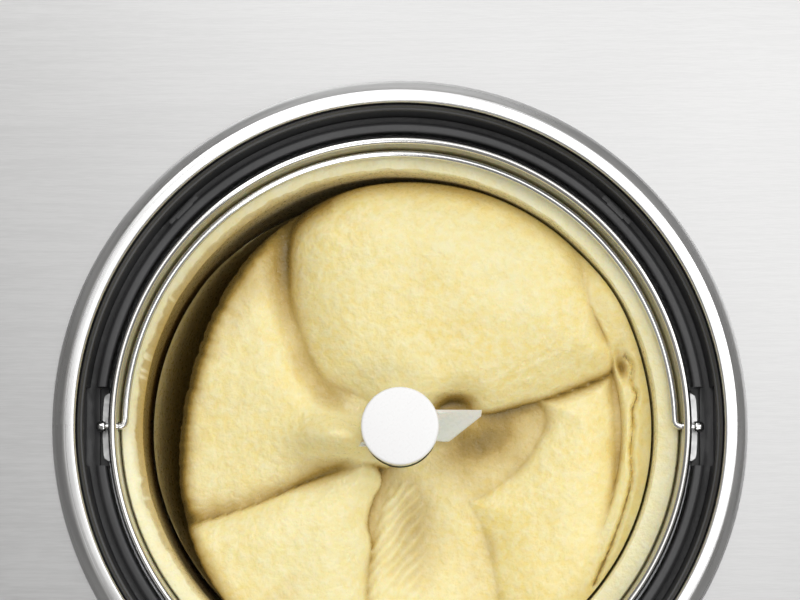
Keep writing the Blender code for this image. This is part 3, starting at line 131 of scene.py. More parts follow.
def keep_node(finish, *names):
    """Gives CAD nodes whose shape is right a finish of their own."""
    for name in names:
        slots = NODES[name].data.materials
        slots.clear()
        slots.append(finish)


def new_piece(name, mesh, finish, body, slot, *replaced):
    """Shades a finished mesh, hangs it on its body and hides the CAD nodes that it stands for."""
    mesh.name = name
    if finish is not None:
        mesh.materials.clear()
        mesh.materials.append(finish)
    mesh.shade_smooth()
    mesh.set_sharp_from_angle(angle=math.radians(40))
    piece = bpy.data.objects.new(name, mesh)
    bpy.context.scene.collection.objects.link(piece)
    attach(piece, body)
    if replaced:
        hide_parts(*replaced)
    return piece


def closed_mesh(bm):
    """Merges a bmesh's doubles, turns its faces outwards and makes it a mesh."""
    bmesh.ops.remove_doubles(bm, verts=bm.verts, dist=1e-7)
    bmesh.ops.dissolve_degenerate(bm, edges=bm.edges, dist=1e-8)
    bmesh.ops.recalc_face_normals(bm, faces=bm.faces)
    mesh = bpy.data.meshes.new("piece")
    bm.to_mesh(mesh)
    bm.free()
    return mesh


def nodes_to_mesh(mesh, tree, settings):
    """Runs a geometry node tree on a mesh, with its inputs set by name, and returns the plain result."""
    holder = bpy.data.objects.new("holder", mesh)
    bpy.context.scene.collection.objects.link(holder)
    modifier = holder.modifiers.new("tree", "NODES")
    modifier.node_group = tree
    for item in tree.interface.items_tree:
        if item.in_out == "INPUT" and item.name in settings:
            modifier[item.identifier] = settings[item.name]
    shown = holder.evaluated_get(bpy.context.evaluated_depsgraph_get())
    result = bpy.data.meshes.new_from_object(shown)
    bpy.data.objects.remove(holder)
    return result


def make_lathe_tree():
    """Turns the mesh's vertices, read in order as a profile of (radius, 0, height), about an upright axis."""
    tree = bpy.data.node_groups.new("lathe", "GeometryNodeTree")
    face = tree.interface
    face.new_socket("Profile", in_out="INPUT", socket_type="NodeSocketGeometry")
    face.new_socket("Segments", in_out="INPUT", socket_type="NodeSocketInt")
    face.new_socket("Centre", in_out="INPUT", socket_type="NodeSocketVector")
    face.new_socket("Finish", in_out="INPUT", socket_type="NodeSocketMaterial")
    face.new_socket("Geometry", in_out="OUTPUT", socket_type="NodeSocketGeometry")
    start = add_node(tree, "NodeGroupInput").outputs
    count = add_node(
        tree, "GeometryNodeAttributeDomainSize", {"Geometry": start["Profile"]}
    ).outputs["Point Count"]
    across = add_node(tree, "ShaderNodeMath", {0: start["Segments"], 1: 1.0}, operation="ADD").outputs[0]
    sheet = add_node(
        tree, "GeometryNodeMeshGrid", {"Vertices X": across, "Vertices Y": count}
    ).outputs["Mesh"]
    place = add_node(tree, "GeometryNodeInputPosition").outputs[0]
    parts = add_node(tree, "ShaderNodeSeparateXYZ", {0: place}).outputs
    turn = add_node(tree, "ShaderNodeMath", {0: parts["X"], 1: 0.5}, operation="ADD").outputs[0]
    angle = add_node(tree, "ShaderNodeMath", {0: turn, 1: math.tau}, operation="MULTIPLY").outputs[0]
    along = add_node(tree, "ShaderNodeMath", {0: parts["Y"], 1: 0.5}, operation="ADD").outputs[0]
    last = add_node(tree, "ShaderNodeMath", {0: count, 1: 1.0}, operation="SUBTRACT").outputs[0]
    scaled = add_node(tree, "ShaderNodeMath", {0: along, 1: last}, operation="MULTIPLY").outputs[0]
    index = add_node(tree, "ShaderNodeMath", {0: scaled}, operation="ROUND").outputs[0]
    sampled = add_node(
        tree,
        "GeometryNodeSampleIndex",
        {"Geometry": start["Profile"], "Value": place, "Index": index},
        data_type="FLOAT_VECTOR",
    )
    corner = add_node(tree, "ShaderNodeSeparateXYZ", {0: sampled.outputs[0]}).outputs
    cosine = add_node(tree, "ShaderNodeMath", {0: angle}, operation="COSINE").outputs[0]
    sine = add_node(tree, "ShaderNodeMath", {0: angle}, operation="SINE").outputs[0]
    x = add_node(tree, "ShaderNodeMath", {0: corner["X"], 1: cosine}, operation="MULTIPLY").outputs[0]
    y = add_node(tree, "ShaderNodeMath", {0: corner["X"], 1: sine}, operation="MULTIPLY").outputs[0]
    spot = add_node(tree, "ShaderNodeCombineXYZ", {0: x, 1: y, 2: corner["Z"]}).outputs[0]
    moved = add_node(
        tree, "ShaderNodeVectorMath", {0: spot, 1: start["Centre"]}, operation="ADD"
    ).outputs[0]
    turned = add_node(tree, "GeometryNodeSetPosition", {"Geometry": sheet, "Position": moved}).outputs[0]
    closed = add_node(
        tree, "GeometryNodeMergeByDistance", {"Geometry": turned, "Distance": 1e-7}
    ).outputs[0]
    real = add_node(tree, "GeometryNodeRealizeInstances", {"Geometry": closed}).outputs[0]
    done = add_node(
        tree, "GeometryNodeSetMaterial", {"Geometry": real, "Material": start["Finish"]}
    ).outputs[0]
    add_node(tree, "NodeGroupOutput", {"Geometry": done})
    return tree


LATHE = make_lathe_tree()


def softened(profile, radius, closed=True, steps=3):
    """Rounds each corner of a profile, as far as its edges are long enough."""
    points = [Vector(corner) for corner in profile]
    out = []
    count = len(points)
    for i, corner in enumerate(points):
        if not closed and i in (0, count - 1):
            out.append(corner)
            continue
        before, after = points[i - 1] - corner, points[(i + 1) % count] - corner
        reach = min(radius, 0.42 * before.length, 0.42 * after.length)
        if before.angle(after) > math.radians(172):
            out.append(corner)
            continue
        first, last = corner + before.normalized() * reach, corner + after.normalized() * reach
        for step in range(steps + 1):
            t = step / steps
            out.append(first * (1 - t) ** 2 + corner * 2 * t * (1 - t) + last * t * t)
    return out


def turned(profile, centre, finish, segments=96, closed=True):
    """A lathe-turned mesh from a profile of (radius, height) in millimetres."""
    points = [(spot[0] * MM, 0.0, spot[1] * MM) for spot in profile]
    if closed:
        points.append(points[0])
    mesh = bpy.data.meshes.new("profile")
    mesh.from_pydata(points, [(i, i + 1) for i in range(len(points) - 1)], [])
    middle = [centre[0] * MM, centre[1] * MM, 0.0]
    result = nodes_to_mesh(mesh, LATHE, {"Segments": segments, "Centre": middle, "Finish": finish})
    bm = bmesh.new()
    bm.from_mesh(result)
    made = closed_mesh(bm)
    made.materials.append(finish)
    return made


rubber = grained("moulded_rubber", (0.012, 0.012, 0.013), (0.03, 0.03, 0.031), (0.6, 0.85), 700, 0.3)
for name in ("foot_front_left", "foot_front_right", "foot_rear_left", "foot_rear_right"):
    low, high = box_mm(name)
    profile = [(0, 0), (9.5, 0), (10.8, 1.2), (11.4, 5), (12.0, 5.6), (12.0, high.z), (0, high.z)]
    pad = softened(profile, 0.8, closed=False)
    new_piece(
        f"{name}_pad",
        turned(pad, middle_mm(name), rubber, 40, closed=False),
        None,
        "base",
        "rubber",
        name,
    )

# The base pan: one black moulding with a fine spark-eroded texture, lipped up inside the steel band.
BASE_FLOOR = 3.0
BASE_WALL = 2.5


def rounded_loop(width, depth, radius, z, middle, steps=14):
    loop = []
    for side_x, side_y, start in ((1, 1, 0), (-1, 1, 90), (-1, -1, 180), (1, -1, 270)):
        for step in range(steps + 1):
            angle = math.radians(start + 90 * step / steps)
            x = middle[0] + side_x * (width / 2 - radius) + radius * math.cos(angle)
            y = middle[1] + side_y * (depth / 2 - radius) + radius * math.sin(angle)
            loop.append((x, y, z))
    return loop


def lofted(loops, capped=True):
    bm = bmesh.new()
    rings = [[bm.verts.new(Vector(corner) * MM) for corner in loop] for loop in loops]
    count = len(rings[0])
    for below, above in zip(rings, rings[1:]):
        for i in range(count):
            bm.faces.new((below[i], below[(i + 1) % count], above[(i + 1) % count], above[i]))
    if capped:
        bm.faces.new(rings[0])
        bm.faces.new(rings[-1])
    else:
        for i in range(count):
            bm.faces.new(
                (rings[-1][i], rings[-1][(i + 1) % count], rings[0][(i + 1) % count], rings[0][i])
            )
    return closed_mesh(bm)


black_moulding = grained(
    "black_moulding", (0.010, 0.010, 0.011), (0.022, 0.022, 0.024), (0.34, 0.5), 1500, 0.22
)
low, high = box_mm("base_pan")
size, middle = high - low, (low + high) / 2
PAN_CORNER = 25.0
pan_loops = []
for inset, z in ((5, 0), (2.2, 0.2), (0.8, 1.2), (0, 3), (0, size.z - 0.4), (0.4, size.z)):
    pan_loops.append(
        rounded_loop(size.x - 2 * inset, size.y - 2 * inset, PAN_CORNER - inset, low.z + z, middle)
    )
for z in (size.z, BASE_FLOOR):
    inner = (size.x - 2 * BASE_WALL, size.y - 2 * BASE_WALL, PAN_CORNER - BASE_WALL)
    pan_loops.append(rounded_loop(*inner, low.z + z, middle))
new_piece("base_tray", lofted(pan_loops), black_moulding, "base", "black_plastic", "base_pan")

# The works: hermetic compressor on rubber mounts, drier, capillary and copper lines, the condenser with
# its fan, the motor and its two-stage nylon gear train under a bent aluminium bridge.
black_enamel = grained(
    "black_enamel", (0.02, 0.02, 0.022), (0.045, 0.045, 0.05), (0.25, 0.42), 260, 0.35
)
copper = grained(
    "drawn_copper", (0.50, 0.20, 0.11), (0.82, 0.42, 0.27), (0.22, 0.42), 500, 0.1, 1.0, cloud=40.0
)
nylon = grained("gear_nylon", (0.74, 0.71, 0.62), (0.86, 0.84, 0.77), (0.4, 0.55), 600, 0.1, cloud=30.0)
nylon.node_tree.nodes["Principled BSDF"].inputs["Subsurface Weight"].default_value = 0.15
rolled_aluminium = grained(
    "rolled_aluminium",
    (0.62, 0.63, 0.64),
    (0.80, 0.81, 0.82),
    (0.32, 0.48),
    500,
    0.2,
    1.0,
    stretch=(1, 14, 1),
)
machined_steel = grained(
    "machined_steel", (0.55, 0.55, 0.54), (0.74, 0.74, 0.73), (0.18, 0.34), 900, 0.12, 1.0, stretch=(1, 1, 12)
)
keep_node(rubber, "compressor_grommet_1", "compressor_grommet_2", "compressor_grommet_3", "shaft_seal")
keep_node(black_enamel, "compressor", "drive_motor", "fan_motor")
keep_node(
    copper,
    "condenser_coil",
    "discharge_line",
    "liquid_line",
    "filter_drier",
    "capillary",
    "suction_line",
)
keep_node(copper, "evaporator_coil", "lower_bushing", "upper_bushing")
keep_node(nylon, "gearbox_case", "gearbox_cover", "output_gear", "reduction_gear")
keep_node(rolled_aluminium, "drive_bridge")
keep_node(machined_steel, "reduction_pin", "motor_pinion", "drive_shaft")
keep_node(black_moulding, "fan_frame", "fan_rotor")

# The foam cup: poured polyurethane, matt and full of small cells, round the evaporator and the cooled well.
foam = grained("poured_foam", (0.66, 0.58, 0.36), (0.86, 0.80, 0.60), (0.85, 0.95), 420, 0.9, cloud=60.0)
keep_node(foam, "insulation_jacket")

# The cooled well: a spun aluminium cup, flanged under the collar and rolled soft at every edge.
bowl_low, bowl_high = box_mm("bowl")
AXIS = (bowl_low + bowl_high) / 2
RIM_TOP = bowl_high.z
BOWL_FLOOR = bowl_low.z
PLATE_TOP = box_mm("top_panel")[1].z
RIM_RADIUS = (bowl_high.x - bowl_low.x) / 2


def polar_place(tree, centre):
    """The radius, the turn and the height of a surface point about the bowl's upright axis, in metres."""
    place = add_node(tree, "ShaderNodeTexCoord").outputs["Object"]
    offset = (-centre[0] * MM, -centre[1] * MM, 0)
    moved = add_node(tree, "ShaderNodeMapping", {"Vector": place, "Location": offset}).outputs[0]
    parts = add_node(tree, "ShaderNodeSeparateXYZ", {0: moved}).outputs
    flat = add_node(tree, "ShaderNodeCombineXYZ", {0: parts[0], 1: parts[1]}).outputs[0]
    radius = add_node(tree, "ShaderNodeVectorMath", {0: flat}, operation="LENGTH").outputs["Value"]
    turn = add_node(tree, "ShaderNodeMath", {0: parts[1], 1: parts[0]}, operation="ARCTAN2").outputs[0]
    return radius, turn, parts[2], moved


def turned_finish(name, dark, light, roughness, centre, lines=2600.0, bump=0.12, metallic=1.0):
    """Metal turned or spun on a lathe: fine rings about the axis, drawn out along the turn."""
    material, tree, shader = new_finish(name, light, roughness[0], metallic)
    radius, turn, height, moved = polar_place(tree, centre)
    ringed = add_node(tree, "ShaderNodeMath", {0: radius, 1: height}, operation="ADD").outputs[0]
    slow = add_node(tree, "ShaderNodeMath", {0: turn, 1: 0.0006}, operation="MULTIPLY").outputs[0]
    place = add_node(tree, "ShaderNodeCombineXYZ", {0: ringed, 1: slow, 2: 0.0}).outputs[0]
    rings = add_node(
        tree, "ShaderNodeTexNoise", {"Vector": place, "Scale": lines, "Detail": 3.0}
    ).outputs[0]
    clouds = add_node(
        tree, "ShaderNodeTexNoise", {"Vector": moved, "Scale": 14.0, "Detail": 3.0}
    ).outputs[0]
    tree.links.new(
        blend_colours(tree, spread(tree, rings, 0, 1), dark, light), shader.inputs["Base Color"]
    )
    both = add_node(tree, "ShaderNodeMath", {0: rings, 1: clouds}, operation="MULTIPLY").outputs[0]
    tree.links.new(spread(tree, both, *roughness, 0.15, 0.4), shader.inputs["Roughness"])
    relief = add_node(tree, "ShaderNodeBump", {"Height": rings, "Strength": bump, "Distance": 0.0001})
    tree.links.new(relief.outputs[0], shader.inputs["Normal"])
    return material


def bowl_wall(height):
    return RIM_RADIUS - 1.5 - 3.9 * (RIM_TOP - height) / (RIM_TOP - BOWL_FLOOR)


spun_aluminium = turned_finish(
    "spun_aluminium", (0.60, 0.61, 0.62), (0.80, 0.81, 0.82), (0.28, 0.42), AXIS, 1500
)
well_low, well_high = box_mm("cooling_well")
WELL_WALL = 1.5
WELL_GAP = 0.8
floor = BOWL_FLOOR - 1.0
flange = well_high.z
well_reach = (well_high.x - well_low.x) / 2
inner_top, inner_low = bowl_wall(flange) + WELL_GAP, bowl_wall(floor + 4) + WELL_GAP
well_profile = [
    (14.0, floor),
    (inner_low - 3.5, floor),
    (inner_low, floor + 4),
    (inner_top, flange),
    (well_reach, flange),
    (well_reach, flange - WELL_WALL),
    (inner_top + WELL_WALL, flange - WELL_WALL),
    (inner_low + WELL_WALL, floor + 3.4),
    (inner_low - 3.0, floor - WELL_WALL),
    (14.0, floor - WELL_WALL),
]
well = turned(softened(well_profile, 0.6, steps=2), AXIS, spun_aluminium, 128)
new_piece("cooled_well", well, None, "base", "aluminium", "cooling_well")

# The housing: one brushed stainless band bent round the front and sides, with rows of pressed air slots.
# The slots are set out by nodes, each a round-ended cutter, and cut from the band in one go.
BODY = box_mm("housing_band")
BODY_MIDDLE = (BODY[0] + BODY[1]) / 2
BODY_MIDDLE.y = AXIS.y
BODY_WIDTH = BODY[1].x - BODY[0].x
BODY_DEPTH = 276.0
BODY_CORNER = 28.0
SHEET = 1.0


def brushed_finish(name, along, dark, light, roughness):
    """Stainless sheet brushed in one direction: long thin scratches in colour, gloss and relief."""
    material, tree, shader = new_finish(name, light, roughness[0], 1.0)
    place = add_node(tree, "ShaderNodeTexCoord").outputs["Object"]
    squeeze = {"X": (0.05, 1, 1), "Z": (1, 1, 0.05)}[along]
    drawn = add_node(tree, "ShaderNodeMapping", {"Vector": place, "Scale": squeeze}).outputs[0]
    fine = add_node(
        tree, "ShaderNodeTexNoise", {"Vector": drawn, "Scale": 4200.0, "Detail": 3.0}
    ).outputs[0]
    broad = add_node(
        tree, "ShaderNodeTexNoise", {"Vector": drawn, "Scale": 900.0, "Detail": 2.0}
    ).outputs[0]
    clouds = add_node(
        tree, "ShaderNodeTexNoise", {"Vector": place, "Scale": 9.0, "Detail": 2.0}
    ).outputs[0]
    both = add_node(tree, "ShaderNodeMath", {0: fine, 1: broad}, operation="ADD").outputs[0]
    tree.links.new(
        blend_colours(tree, spread(tree, both, 0, 1, 0.8, 1.2), dark, light), shader.inputs["Base Color"]
    )
    mixed = add_node(tree, "ShaderNodeMath", {0: both, 1: clouds}, operation="ADD").outputs[0]
    tree.links.new(spread(tree, mixed, *roughness, 1.2, 1.8), shader.inputs["Roughness"])
    relief = add_node(tree, "ShaderNodeBump", {"Height": fine, "Strength": 0.05, "Distance": 0.0001})
    tree.links.new(relief.outputs[0], shader.inputs["Normal"])
    return material


def make_setting_out_tree():
    """Sets a copy of one piece on every vertex of the mesh, and joins the copies."""
    tree = bpy.data.node_groups.new("setting_out", "GeometryNodeTree")
    face = tree.interface
    face.new_socket("Places", in_out="INPUT", socket_type="NodeSocketGeometry")
    face.new_socket("Piece", in_out="INPUT", socket_type="NodeSocketObject")
    face.new_socket("Turn by place", in_out="INPUT", socket_type="NodeSocketBool")
    face.new_socket("Finish", in_out="INPUT", socket_type="NodeSocketMaterial")
    face.new_socket("Geometry", in_out="OUTPUT", socket_type="NodeSocketGeometry")
    start = add_node(tree, "NodeGroupInput").outputs
    piece = add_node(tree, "GeometryNodeObjectInfo", {"Object": start["Piece"]}).outputs["Geometry"]
    normal = add_node(
        tree, "GeometryNodeInputNamedAttribute", {"Name": "facing"}, data_type="FLOAT_VECTOR"
    ).outputs[0]
    aimed = add_node(
        tree, "FunctionNodeAlignRotationToVector", {"Vector": normal}, axis="X", pivot_axis="Z"
    ).outputs[0]
    spun = add_node(
        tree, "GeometryNodeSwitch", {
            "Switch": start["Turn by place"], "True": aimed
        }, input_type="ROTATION"
    ).outputs[0]
    points = add_node(tree, "GeometryNodeMeshToPoints", {"Mesh": start["Places"]}).outputs[0]
    copies = add_node(
        tree, "GeometryNodeInstanceOnPoints", {"Points": points, "Instance": piece, "Rotation": spun}
    ).outputs[0]
    real = add_node(tree, "GeometryNodeRealizeInstances", {"Geometry": copies}).outputs[0]
    done = add_node(
        tree, "GeometryNodeSetMaterial", {"Geometry": real, "Material": start["Finish"]}
    ).outputs[0]
    add_node(tree, "NodeGroupOutput", {"Geometry": done})
    return tree


SETTING_OUT = make_setting_out_tree()


def set_out(mesh, places, finish, facings=None):
    """Copies a mesh from its own origin to places in millimetres, each turned to its facing about Z."""
    points = bpy.data.meshes.new("places")
    points.from_pydata([Vector(spot) * MM for spot in places], [], [])
    values = facings or [(1.0, 0.0, 0.0)] * len(places)
    attribute = points.attributes.new("facing", "FLOAT_VECTOR", "POINT")
    attribute.data.foreach_set("vector", [part for value in values for part in value])
    pattern = bpy.data.objects.new("pattern", mesh)
    settings = {"Piece": pattern, "Turn by place": facings is not None, "Finish": finish}
    result = nodes_to_mesh(points, SETTING_OUT, settings)
    bpy.data.objects.remove(pattern)
    return result


def stadium(length, width, steps=8):
    """A slot's outline: two straight sides and two round ends, upright."""
    outline = []
    for centre, start in ((length / 2 - width / 2, 0), (-(length / 2 - width / 2), 180)):
        for step in range(steps + 1):
            angle = math.radians(start + 180 * step / steps)
            outline.append((width / 2 * math.cos(angle), centre + width / 2 * math.sin(angle)))
    return outline


def cut(mesh, cutter, operation="DIFFERENCE", solver="EXACT"):
    """A Boolean between two meshes, returned as a plain mesh."""
    target = bpy.data.objects.new("target", mesh)
    tool = bpy.data.objects.new("tool", cutter)
    for thing in (target, tool):
        bpy.context.scene.collection.objects.link(thing)
    modifier = target.modifiers.new("cut", "BOOLEAN")
    modifier.operation = operation
    modifier.solver = solver
    modifier.object = tool
    result = bpy.data.meshes.new_from_object(target.evaluated_get(bpy.context.evaluated_depsgraph_get()))
    bpy.data.objects.remove(target)
    bpy.data.objects.remove(tool)
    return result


def open_band_outline(width, depth, corner, sheet, end_x):
    outer = [(x, y) for x, y, _ in rounded_loop(width, depth, corner, 0, (0, 0))]
    inside = rounded_loop(width - 2 * sheet, depth - 2 * sheet, corner - sheet, 0, (0, 0))
    inner = [(x, y) for x, y, _ in inside]
    part = 15
    outside = [(-end_x, depth / 2), *outer[part:], *outer[:part], (end_x, depth / 2)]
    inside = [(-end_x, depth / 2 - sheet), *inner[part:], *inner[:part], (end_x, depth / 2 - sheet)]
    return outside + inside[::-1]


steel_band = brushed_finish("brushed_band", "X", (0.57, 0.57, 0.57), (0.66, 0.66, 0.66), (0.32, 0.42))
outline = open_band_outline(BODY_WIDTH, BODY_DEPTH, BODY_CORNER, SHEET, BODY_WIDTH / 2 - 48)
band_loops = [[(x, y + AXIS.y, z) for x, y in outline] for z in (BODY[0].z, BODY[1].z)]
band = lofted(band_loops)
slot_cutter = lofted([[(x, y, z) for y, z in stadium(76, 3)] for x in (-3, 3)])
slot_places = []
fan_y = middle_mm("fan_frame").y
for side, count in ((-1, 10), (1, 8)):
    for i in range(count):
        slot_places.append((side * BODY_WIDTH / 2, fan_y + (i - (count - 1) / 2) * 8.0, 88))
band = cut(band, set_out(slot_cutter, slot_places, steel_band), solver="MANIFOLD")
new_piece("steel_band", band, steel_band, "base", "brushed_steel", "housing_band")

# The rear cover: powder-coated sheet with air slots, held by four cross-head screws set out by nodes.
# The mains inlet and its rocker switch snap into it.
powder_coat = grained(
    "powder_coat", (0.035, 0.036, 0.038), (0.06, 0.061, 0.064), (0.45, 0.65), 1100, 0.7
)
keep_node(powder_coat, "rear_panel")
keep_node(black_moulding, "power_inlet", "switch_frame")
gloss_black = grained(
    "gloss_black", (0.006, 0.006, 0.007), (0.012, 0.012, 0.014), (0.06, 0.12), 60, 0.02, cloud=8.0
)
keep_node(gloss_black, "rocker")


def screw_mesh(finish):
    """A pan-head screw along +Y: domed head with a cross recess, and a plain shank."""
    profile = [(0, 0), (3.4, 0), (4.0, 0.5), (3.7, 1.3), (2.6, 1.85), (0, 2.0)]
    head = turned(softened(profile, 0.3, closed=False, steps=2), (0, 0), finish, 32, closed=False)
    shank = turned(
        [(0, -9.0), (1.4, -9.0), (1.8, -8.4), (1.8, 0.4), (0, 0.4)], (0, 0), finish, 20, closed=False
    )
    screw = cut(head, shank, "UNION")
    for width, depth in ((0.8, 3.4), (3.4, 0.8)):
        square = ((1, 1), (-1, 1), (-1, -1), (1, -1))
        arm = lofted([[(x * width / 2, y * depth / 2, z) for x, y in square] for z in (1.0, 3)])
        screw = cut(screw, arm)
    screw.transform(Matrix.Rotation(math.radians(-90), 4, "X"))
    return screw


screw_names = [f"rear_screw_{i}" for i in range(1, 5)]
screw_spots = []
for name in screw_names:
    low, high = box_mm(name)
    screw_spots.append(((low.x + high.x) / 2, high.y - 2.0, (low.z + high.z) / 2))
screws = set_out(screw_mesh(machined_steel), screw_spots, machined_steel)
new_piece("rear_screws", screws, machined_steel, "base", "polished_steel", *screw_names)

# The top: a shallow drawn stainless plate, brushed along the machine's width, with a rolled edge,
# a round hole for the bowl's ring and a rounded one for the control fascia.
PLATE_EDGE = 5.0
PLATE_SKIRT = 6.6
RING_OUTER = RIM_RADIUS + 15.9
RING_INNER = RING_OUTER - 7.0
plate_steel = brushed_finish("brushed_plate", "X", (0.48, 0.48, 0.48), (0.53, 0.53, 0.53), (0.36, 0.44))
outer_loops, inner_loops = [], []
for step in range(9):
    angle = math.radians(90 * step / 8)
    for loops, skin in ((outer_loops, 0.0), (inner_loops, SHEET)):
        radius = PLATE_EDGE - skin
        inset = skin + radius * (1 - math.cos(angle))
        z = PLATE_TOP - PLATE_EDGE + radius * math.sin(angle)
        plan = (BODY_WIDTH - 2 * inset, BODY_DEPTH - 2 * inset, BODY_CORNER - inset)
        loops.append(rounded_loop(*plan, z, (0, AXIS.y)))
skirt = PLATE_TOP - PLATE_SKIRT
edge = rounded_loop(BODY_WIDTH, BODY_DEPTH, BODY_CORNER, skirt, (0, AXIS.y))
inner_edge = rounded_loop(BODY_WIDTH - 2, BODY_DEPTH - 2, BODY_CORNER - SHEET, skirt, (0, AXIS.y))
plate = lofted(inner_loops[::-1] + [inner_edge, edge] + outer_loops)
hole = turned(
    [
        (0, PLATE_TOP - 10),
        (RING_INNER + 2.2, PLATE_TOP - 10),
        (RING_INNER + 2.2, PLATE_TOP + 5),
        (0, PLATE_TOP + 5),
    ],
    AXIS,
    plate_steel,
    160,
    closed=False,
)
plate = cut(plate, hole)
fascia_low, fascia_high = box_mm("control_fascia")
fascia_size, fascia_middle = fascia_high - fascia_low, (fascia_low + fascia_high) / 2
pocket = [
    rounded_loop(fascia_size.x - 3.4, fascia_size.y - 3.4, 8.0, PLATE_TOP + z, fascia_middle) for z in (
        -10, 5
    )
]
plate = cut(plate, lofted(pocket))
new_piece("steel_top", plate, plate_steel, "base", "brushed_steel", "top_panel")

# The bowl ring: an aluminium ring turned from bar, satin on its crown, standing proud of the plate
# and holding the black collar in its bore.
RING_RISE = 5.8
satin_ring = turned_finish(
    "satin_ring", (0.66, 0.66, 0.66), (0.88, 0.88, 0.88), (0.24, 0.36), AXIS, 3200, 0.10
)
crown, ring_foot = PLATE_TOP + RING_RISE, PLATE_TOP + 0.3
ring_profile = [
    (RING_OUTER, ring_foot),
    (RING_OUTER, ring_foot + 0.5),
    (RING_OUTER - 0.9, ring_foot + 2.6),
    (RING_OUTER - 2.7, crown - 0.9),
    (RING_OUTER - 3.4, crown - 0.15),
    (RING_INNER + 0.5, crown),
    (RING_INNER, crown - 0.6),
    (RING_INNER, PLATE_TOP - 8),
    (RING_INNER + 1.6, PLATE_TOP - 8),
    (RING_INNER + 1.6, ring_foot),
]
ring = turned(softened(ring_profile, 0.45), AXIS, satin_ring, 256)
new_piece("bowl_ring", ring, None, "base", "satin_ring", "bezel_ring")

# The lid collar: a black moulding with two fine steps, the groove that takes the lid's skirt, a flat shelf,
# four bayonet tabs and a notch at each side for the bowl's lugs and the ends of its handle.
COLLAR_INNER = RIM_RADIUS + 1.3
COLLAR_OUTER = RING_INNER - 0.3
SHELF = PLATE_TOP - 3.7
SHELF_OUTER = COLLAR_INNER + 3.1
GROOVE = PLATE_TOP - 10.0
COLLAR_BOTTOM = PLATE_TOP - 16.7
collar_plastic = grained(
    "collar_plastic", (0.034, 0.034, 0.035), (0.062, 0.062, 0.064), (0.34, 0.46), 1600, 0.15
)
collar_profile = [
    (COLLAR_OUTER, COLLAR_BOTTOM),
    (COLLAR_OUTER, PLATE_TOP + 3.4),
    (COLLAR_OUTER - 0.5, PLATE_TOP + 3.9),
    (COLLAR_OUTER - 1.0, PLATE_TOP + 2.9),
    (COLLAR_OUTER - 1.5, PLATE_TOP + 2.9),
    (COLLAR_OUTER - 1.8, PLATE_TOP + 1.8),
    (COLLAR_OUTER - 1.9, GROOVE),
    (SHELF_OUTER, GROOVE),
    (SHELF_OUTER, SHELF - 0.7),
    (SHELF_OUTER - 0.8, SHELF),
    (COLLAR_INNER + 0.5, SHELF),
    (COLLAR_INNER, SHELF - 0.5),
    (COLLAR_INNER, COLLAR_BOTTOM),
]
collar = turned(softened(collar_profile, 0.25, steps=2), AXIS, collar_plastic, 256)


def slab(low, high, soft=0.0):
    """An upright block, with its four upright edges rounded."""
    plan = (high[0] - low[0], high[1] - low[1])
    centre = ((high[0] + low[0]) / 2, (high[1] + low[1]) / 2)
    return lofted([rounded_loop(*plan, max(soft, 0.01), z, centre, steps=4) for z in (low[2], high[2])])


tab = slab((SHELF_OUTER - 0.8, -5.5, SHELF - 3.0), (SHELF_OUTER + 1.0, 5.5, SHELF - 0.9), 0.3)
rail = slab((SHELF_OUTER - 0.5, -3.2, SHELF - 1.6), (SHELF_OUTER + 0.5, 3.2, SHELF - 0.35), 0.3)
facings = [(math.cos(math.radians(a)), math.sin(math.radians(a)), 0) for a in (45, 135, 225, 315)]
spots = [(AXIS.x, AXIS.y, 0)] * 4
for extra in (tab, rail):
    collar = cut(collar, set_out(extra, spots, collar_plastic, facings), "UNION")
NOTCH = 11.5
notch_step = SHELF_OUTER - 1.4
for side in (-1, 1):
    bounds = ((COLLAR_INNER - 3, notch_step, -12.8), (notch_step - 0.01, COLLAR_OUTER - 1.7, -10.0))
    for near, far, drop in bounds:
        xs = sorted((side * near, side * far))
        low = (AXIS.x + xs[0], AXIS.y - NOTCH, PLATE_TOP + drop)
        high = (AXIS.x + xs[1], AXIS.y + NOTCH, PLATE_TOP + 1.5)
        collar = cut(collar, slab(low, high, 0.15))
new_piece("lid_seat_collar", collar, collar_plastic, "base", "black_plastic", "lid_collar")

# The bowl: deep-drawn stainless, its rim rolled outwards into a bead, with a cone up the middle for
# the shaft.
# Two bright angle pieces spot-welded outside it key it into the collar.
polished = turned_finish(
    "polished_bowl", (0.58, 0.57, 0.55), (0.74, 0.73, 0.71), (0.10, 0.22), AXIS, 1700, 0.06
)
BEAD = 1.15
BOWL_SHEET = 0.9
neck = RIM_TOP - 2 * BEAD - 1.4
cone_top = BOWL_FLOOR + 48.5
bead_points = []
for step in range(17):
    angle = math.radians(-75 + 265 * step / 16)
    bead_points.append(
        (RIM_RADIUS - BEAD + BEAD * math.cos(angle), RIM_TOP - BEAD + BEAD * math.sin(angle))
    )
wall_low, wall_neck = bowl_wall(BOWL_FLOOR + 4), bowl_wall(neck)
bowl_profile = [
    (6.5, cone_top - BOWL_SHEET),
    (7.6, cone_top - BOWL_SHEET),
    (15.1, BOWL_FLOOR),
    (bowl_wall(BOWL_FLOOR) - 4, BOWL_FLOOR),
    (bowl_wall(BOWL_FLOOR) - 1.2, BOWL_FLOOR + 1.2),
    (wall_low, BOWL_FLOOR + 4),
    (wall_neck, neck),
    *bead_points,
    (wall_neck - BOWL_SHEET, neck),
    (wall_low - BOWL_SHEET, BOWL_FLOOR + 4),
    (bowl_wall(BOWL_FLOOR) - 4, BOWL_FLOOR + BOWL_SHEET),
    (16.0, BOWL_FLOOR + BOWL_SHEET),
    (8.5, cone_top),
    (6.5, cone_top),
]
shell = turned(bowl_profile, AXIS, polished, 256)
bail_z = middle_mm("bail_handle").z
pin = turned([(0, -92), (1.5, -92), (1.5, 92), (0, 92)], (0, 0), polished, 24, closed=False)
